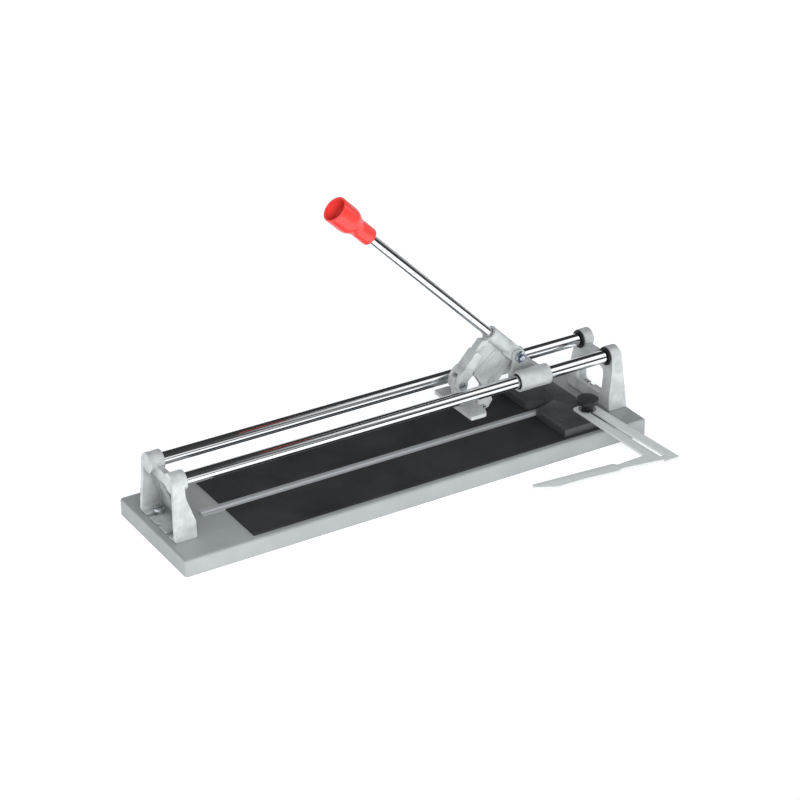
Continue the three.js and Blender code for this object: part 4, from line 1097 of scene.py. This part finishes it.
rod = laid_on_rod(turned("lever_bar", rod_profile(ROD_RADIUS, ROD_FROM, ROD_END, 0.6), "z", (0, 0, 0), 80))
rod.data.transform(to_pivot)
finished(rod, chrome, "lever", "chrome", "lever_rod")


# ---------------------------------------------------------------------------
# Grip. Injection moulded in glossy orange red polypropylene: a round neck that flares to an open
# cup with a rolled lip. The inside of the cup is deeper red, because light only reaches it after
# passing over red walls.

def red_polypropylene():
    """Glossy moulding: strong warm red that lets a little light in, with a slightly wavy shine."""
    material, tree, shader, place = new_material("glossy red polypropylene")
    tree.links.new(shade_between(tree, grain(tree, place, 18, 3), "#cb3430", "#d23c36"),
                   shader.inputs["Base Color"])
    tree.links.new(value_between(tree, grain(tree, place, 4), 0.2, 0.3), shader.inputs["Roughness"])
    shader.inputs["Subsurface Weight"].default_value = 0.12
    shader.inputs["Subsurface Radius"].default_value = (1.5 * MM, 0.3 * MM, 0.2 * MM)
    shader.inputs["Subsurface Scale"].default_value = 1.0
    relief(tree, shader, grain(tree, place, 2.5), 0.012)
    return material


grip_corners = [
    (0, 325.3), (6.3, 325.3), (6.3, 285), (11, 285), (11, 311), (16.3, 322), (16.3, 349.4), (13.7, 349.4),
    (13.7, 332), (10, 329.5), (0, 329.5)]
grip_ease = [0, 0.2, 0.6, 2.2, 9, 8, 1.3, 1.3, 3, 3, 0]
grip_profile = [grip_corners[0]]
for i in range(1, len(grip_corners) - 1):
    corner = eased(grip_corners[i - 1:i + 2], grip_ease[i], 6, closed=False)
    grip_profile += corner[1:-1]
grip_profile.append(grip_corners[-1])
grip = laid_on_rod(turned("lever_handle", grip_profile, "z", (0, 0, 0), 96))
grip.data.transform(to_pivot)
finished(grip, red_polypropylene(), "lever", "red_plastic", "lever_grip")


# ---------------------------------------------------------------------------
# Scoring wheel, its screw and nut. A tungsten carbide disc ground to a sharp edge, on a slotted
# screw through the small fork.

def ground_carbide():
    """Sintered carbide, ground: a dark steel grey with a sharp, slightly streaky shine."""
    material, tree, shader, place = new_material("ground tungsten carbide")
    shader.inputs["Metallic"].default_value = 1.0
    rings = grain(tree, place, 0.8, 3)
    tree.links.new(shade_between(tree, rings, "#8f9296", "#a5a8ac"), shader.inputs["Base Color"])
    tree.links.new(value_between(tree, rings, 0.16, 0.28), shader.inputs["Roughness"])
    relief(tree, shader, rings, 0.005)
    return material


wheel_profile = [(AXLE_BORE, -1.5), (3.6, -1.5), (7.95, -0.08), (7.95, 0.08), (3.6, 1.5), (AXLE_BORE, 1.5)]
wheel_centre = (PIVOT_X + WHEEL_AT[0], 0, PIVOT_Z + WHEEL_AT[1])
wheel = turned("carbide_wheel", wheel_profile, "y", wheel_centre, 72)
finished(wheel, ground_carbide(), "scoring_wheel", "carbide", "scoring_wheel", smooth=20)


def cross_pin(name, at, shank, head, head_height, reach, length, slot_width):
    """A slotted pin across Y with its head on the -Y side."""
    profile = eased([(0, -reach - head_height), (head, -reach - head_height), (head, -reach),
                     (shank, -reach), (shank, length), (0, length)], 0.7, 3, closed=False)
    pin = turned(name, profile, "y", (at[0], 0, at[1]), 48)
    slot = block(at[0] - 8, at[0] + 8, -reach - head_height - 1, -reach - head_height * 0.45,
                 at[1] - slot_width / 2, at[1] + slot_width / 2)
    combined(pin, slot, "DIFFERENCE")
    return rounded(pin, 0.15, 2, 40)


def hexagon_nut(name, at, flats, low, high, bore):
    """A nut across Y at a point, between two distances."""
    body = hex_body(name, flats, low, high, 0.6)
    combined(body, round_bar("y", 0, 0, bore, low - 1, high + 1), "DIFFERENCE")
    body.data.transform(Matrix.Translation((at[0] * MM, 0, at[1] * MM)))
    return rounded(body, 0.15, 2, 40)


wheel_at = (wheel_centre[0], wheel_centre[2])
axle = cross_pin("wheel_screw", wheel_at, shank=2, head=4.2, head_height=2.2, reach=HOLDER, length=9,
                 slot_width=1)
finished(axle, zinc, "lever", "zinc_steel", "wheel_axle")
axle_nut = hexagon_nut("wheel_screw_nut", wheel_at, 7, HOLDER, HOLDER + 2.4, AXLE_BORE)
finished(axle_nut, zinc, "lever", "zinc_steel", "wheel_axle_nut")


# ---------------------------------------------------------------------------
# Breaker foot. An aluminium casting that hangs in the fork on a slotted pin: a lug with a stop
# nose, and two flat wings that press on both halves of the tile.

foot_centre = (PIVOT_X + FOOT_AT[0], PIVOT_Z + FOOT_AT[1])
WING_LEFT, WING_RIGHT, WING_TOP, WING_THICK, WING_HALF = -7.5, 18, -26.5, 5, 42.5
LUG, LUG_EYE, CORNER_X, CORNER_Y = 4.5, 9, 4, 8
lug_outline = [(-9, 0), (-10, 7.5), (-7, 10.5), (0, 9), (9, 0), (13, WING_TOP - 1), (-5, WING_TOP - 1)]
wing_outline = [
    (WING_LEFT, -WING_HALF), (WING_RIGHT - CORNER_X, -WING_HALF), (WING_RIGHT, CORNER_Y - WING_HALF),
    (WING_RIGHT, WING_HALF - CORNER_Y), (WING_RIGHT - CORNER_X, WING_HALF), (WING_LEFT, WING_HALF)]
foot = round_bar("y", 0, 0, LUG_EYE, -LUG, LUG)
foot.name = "breaker_foot_cast"
combined(foot, prism("lug", eased(lug_outline, 3, 4), "y", -LUG, LUG), "UNION")
combined(foot, prism("wing", eased(wing_outline, 1.5, 4), "z", WING_TOP - WING_THICK, WING_TOP), "UNION")
combined(foot, round_bar("y", 0, 0, PIN_BORE, -10, 10), "DIFFERENCE")
cast_skin(foot, DIE_VOXEL, SKIN_PASSES)
foot.data.transform(Matrix.Translation((foot_centre[0] * MM, 0, foot_centre[1] * MM)))
finished(foot, casting_metal, "breaker_foot", "cast_aluminium", "breaker_foot", smooth=180)

foot_pin = cross_pin("foot_screw", foot_centre, shank=3, head=5.2, head_height=2.2, reach=FORK, length=14,
                     slot_width=1.2)
finished(foot_pin, zinc, "lever", "zinc_steel", "foot_pin")
foot_nut = hexagon_nut("foot_screw_nut", foot_centre, 10, FORK, FORK + 3, PIN_BORE)
finished(foot_nut, zinc, "lever", "zinc_steel", "foot_pin_nut")
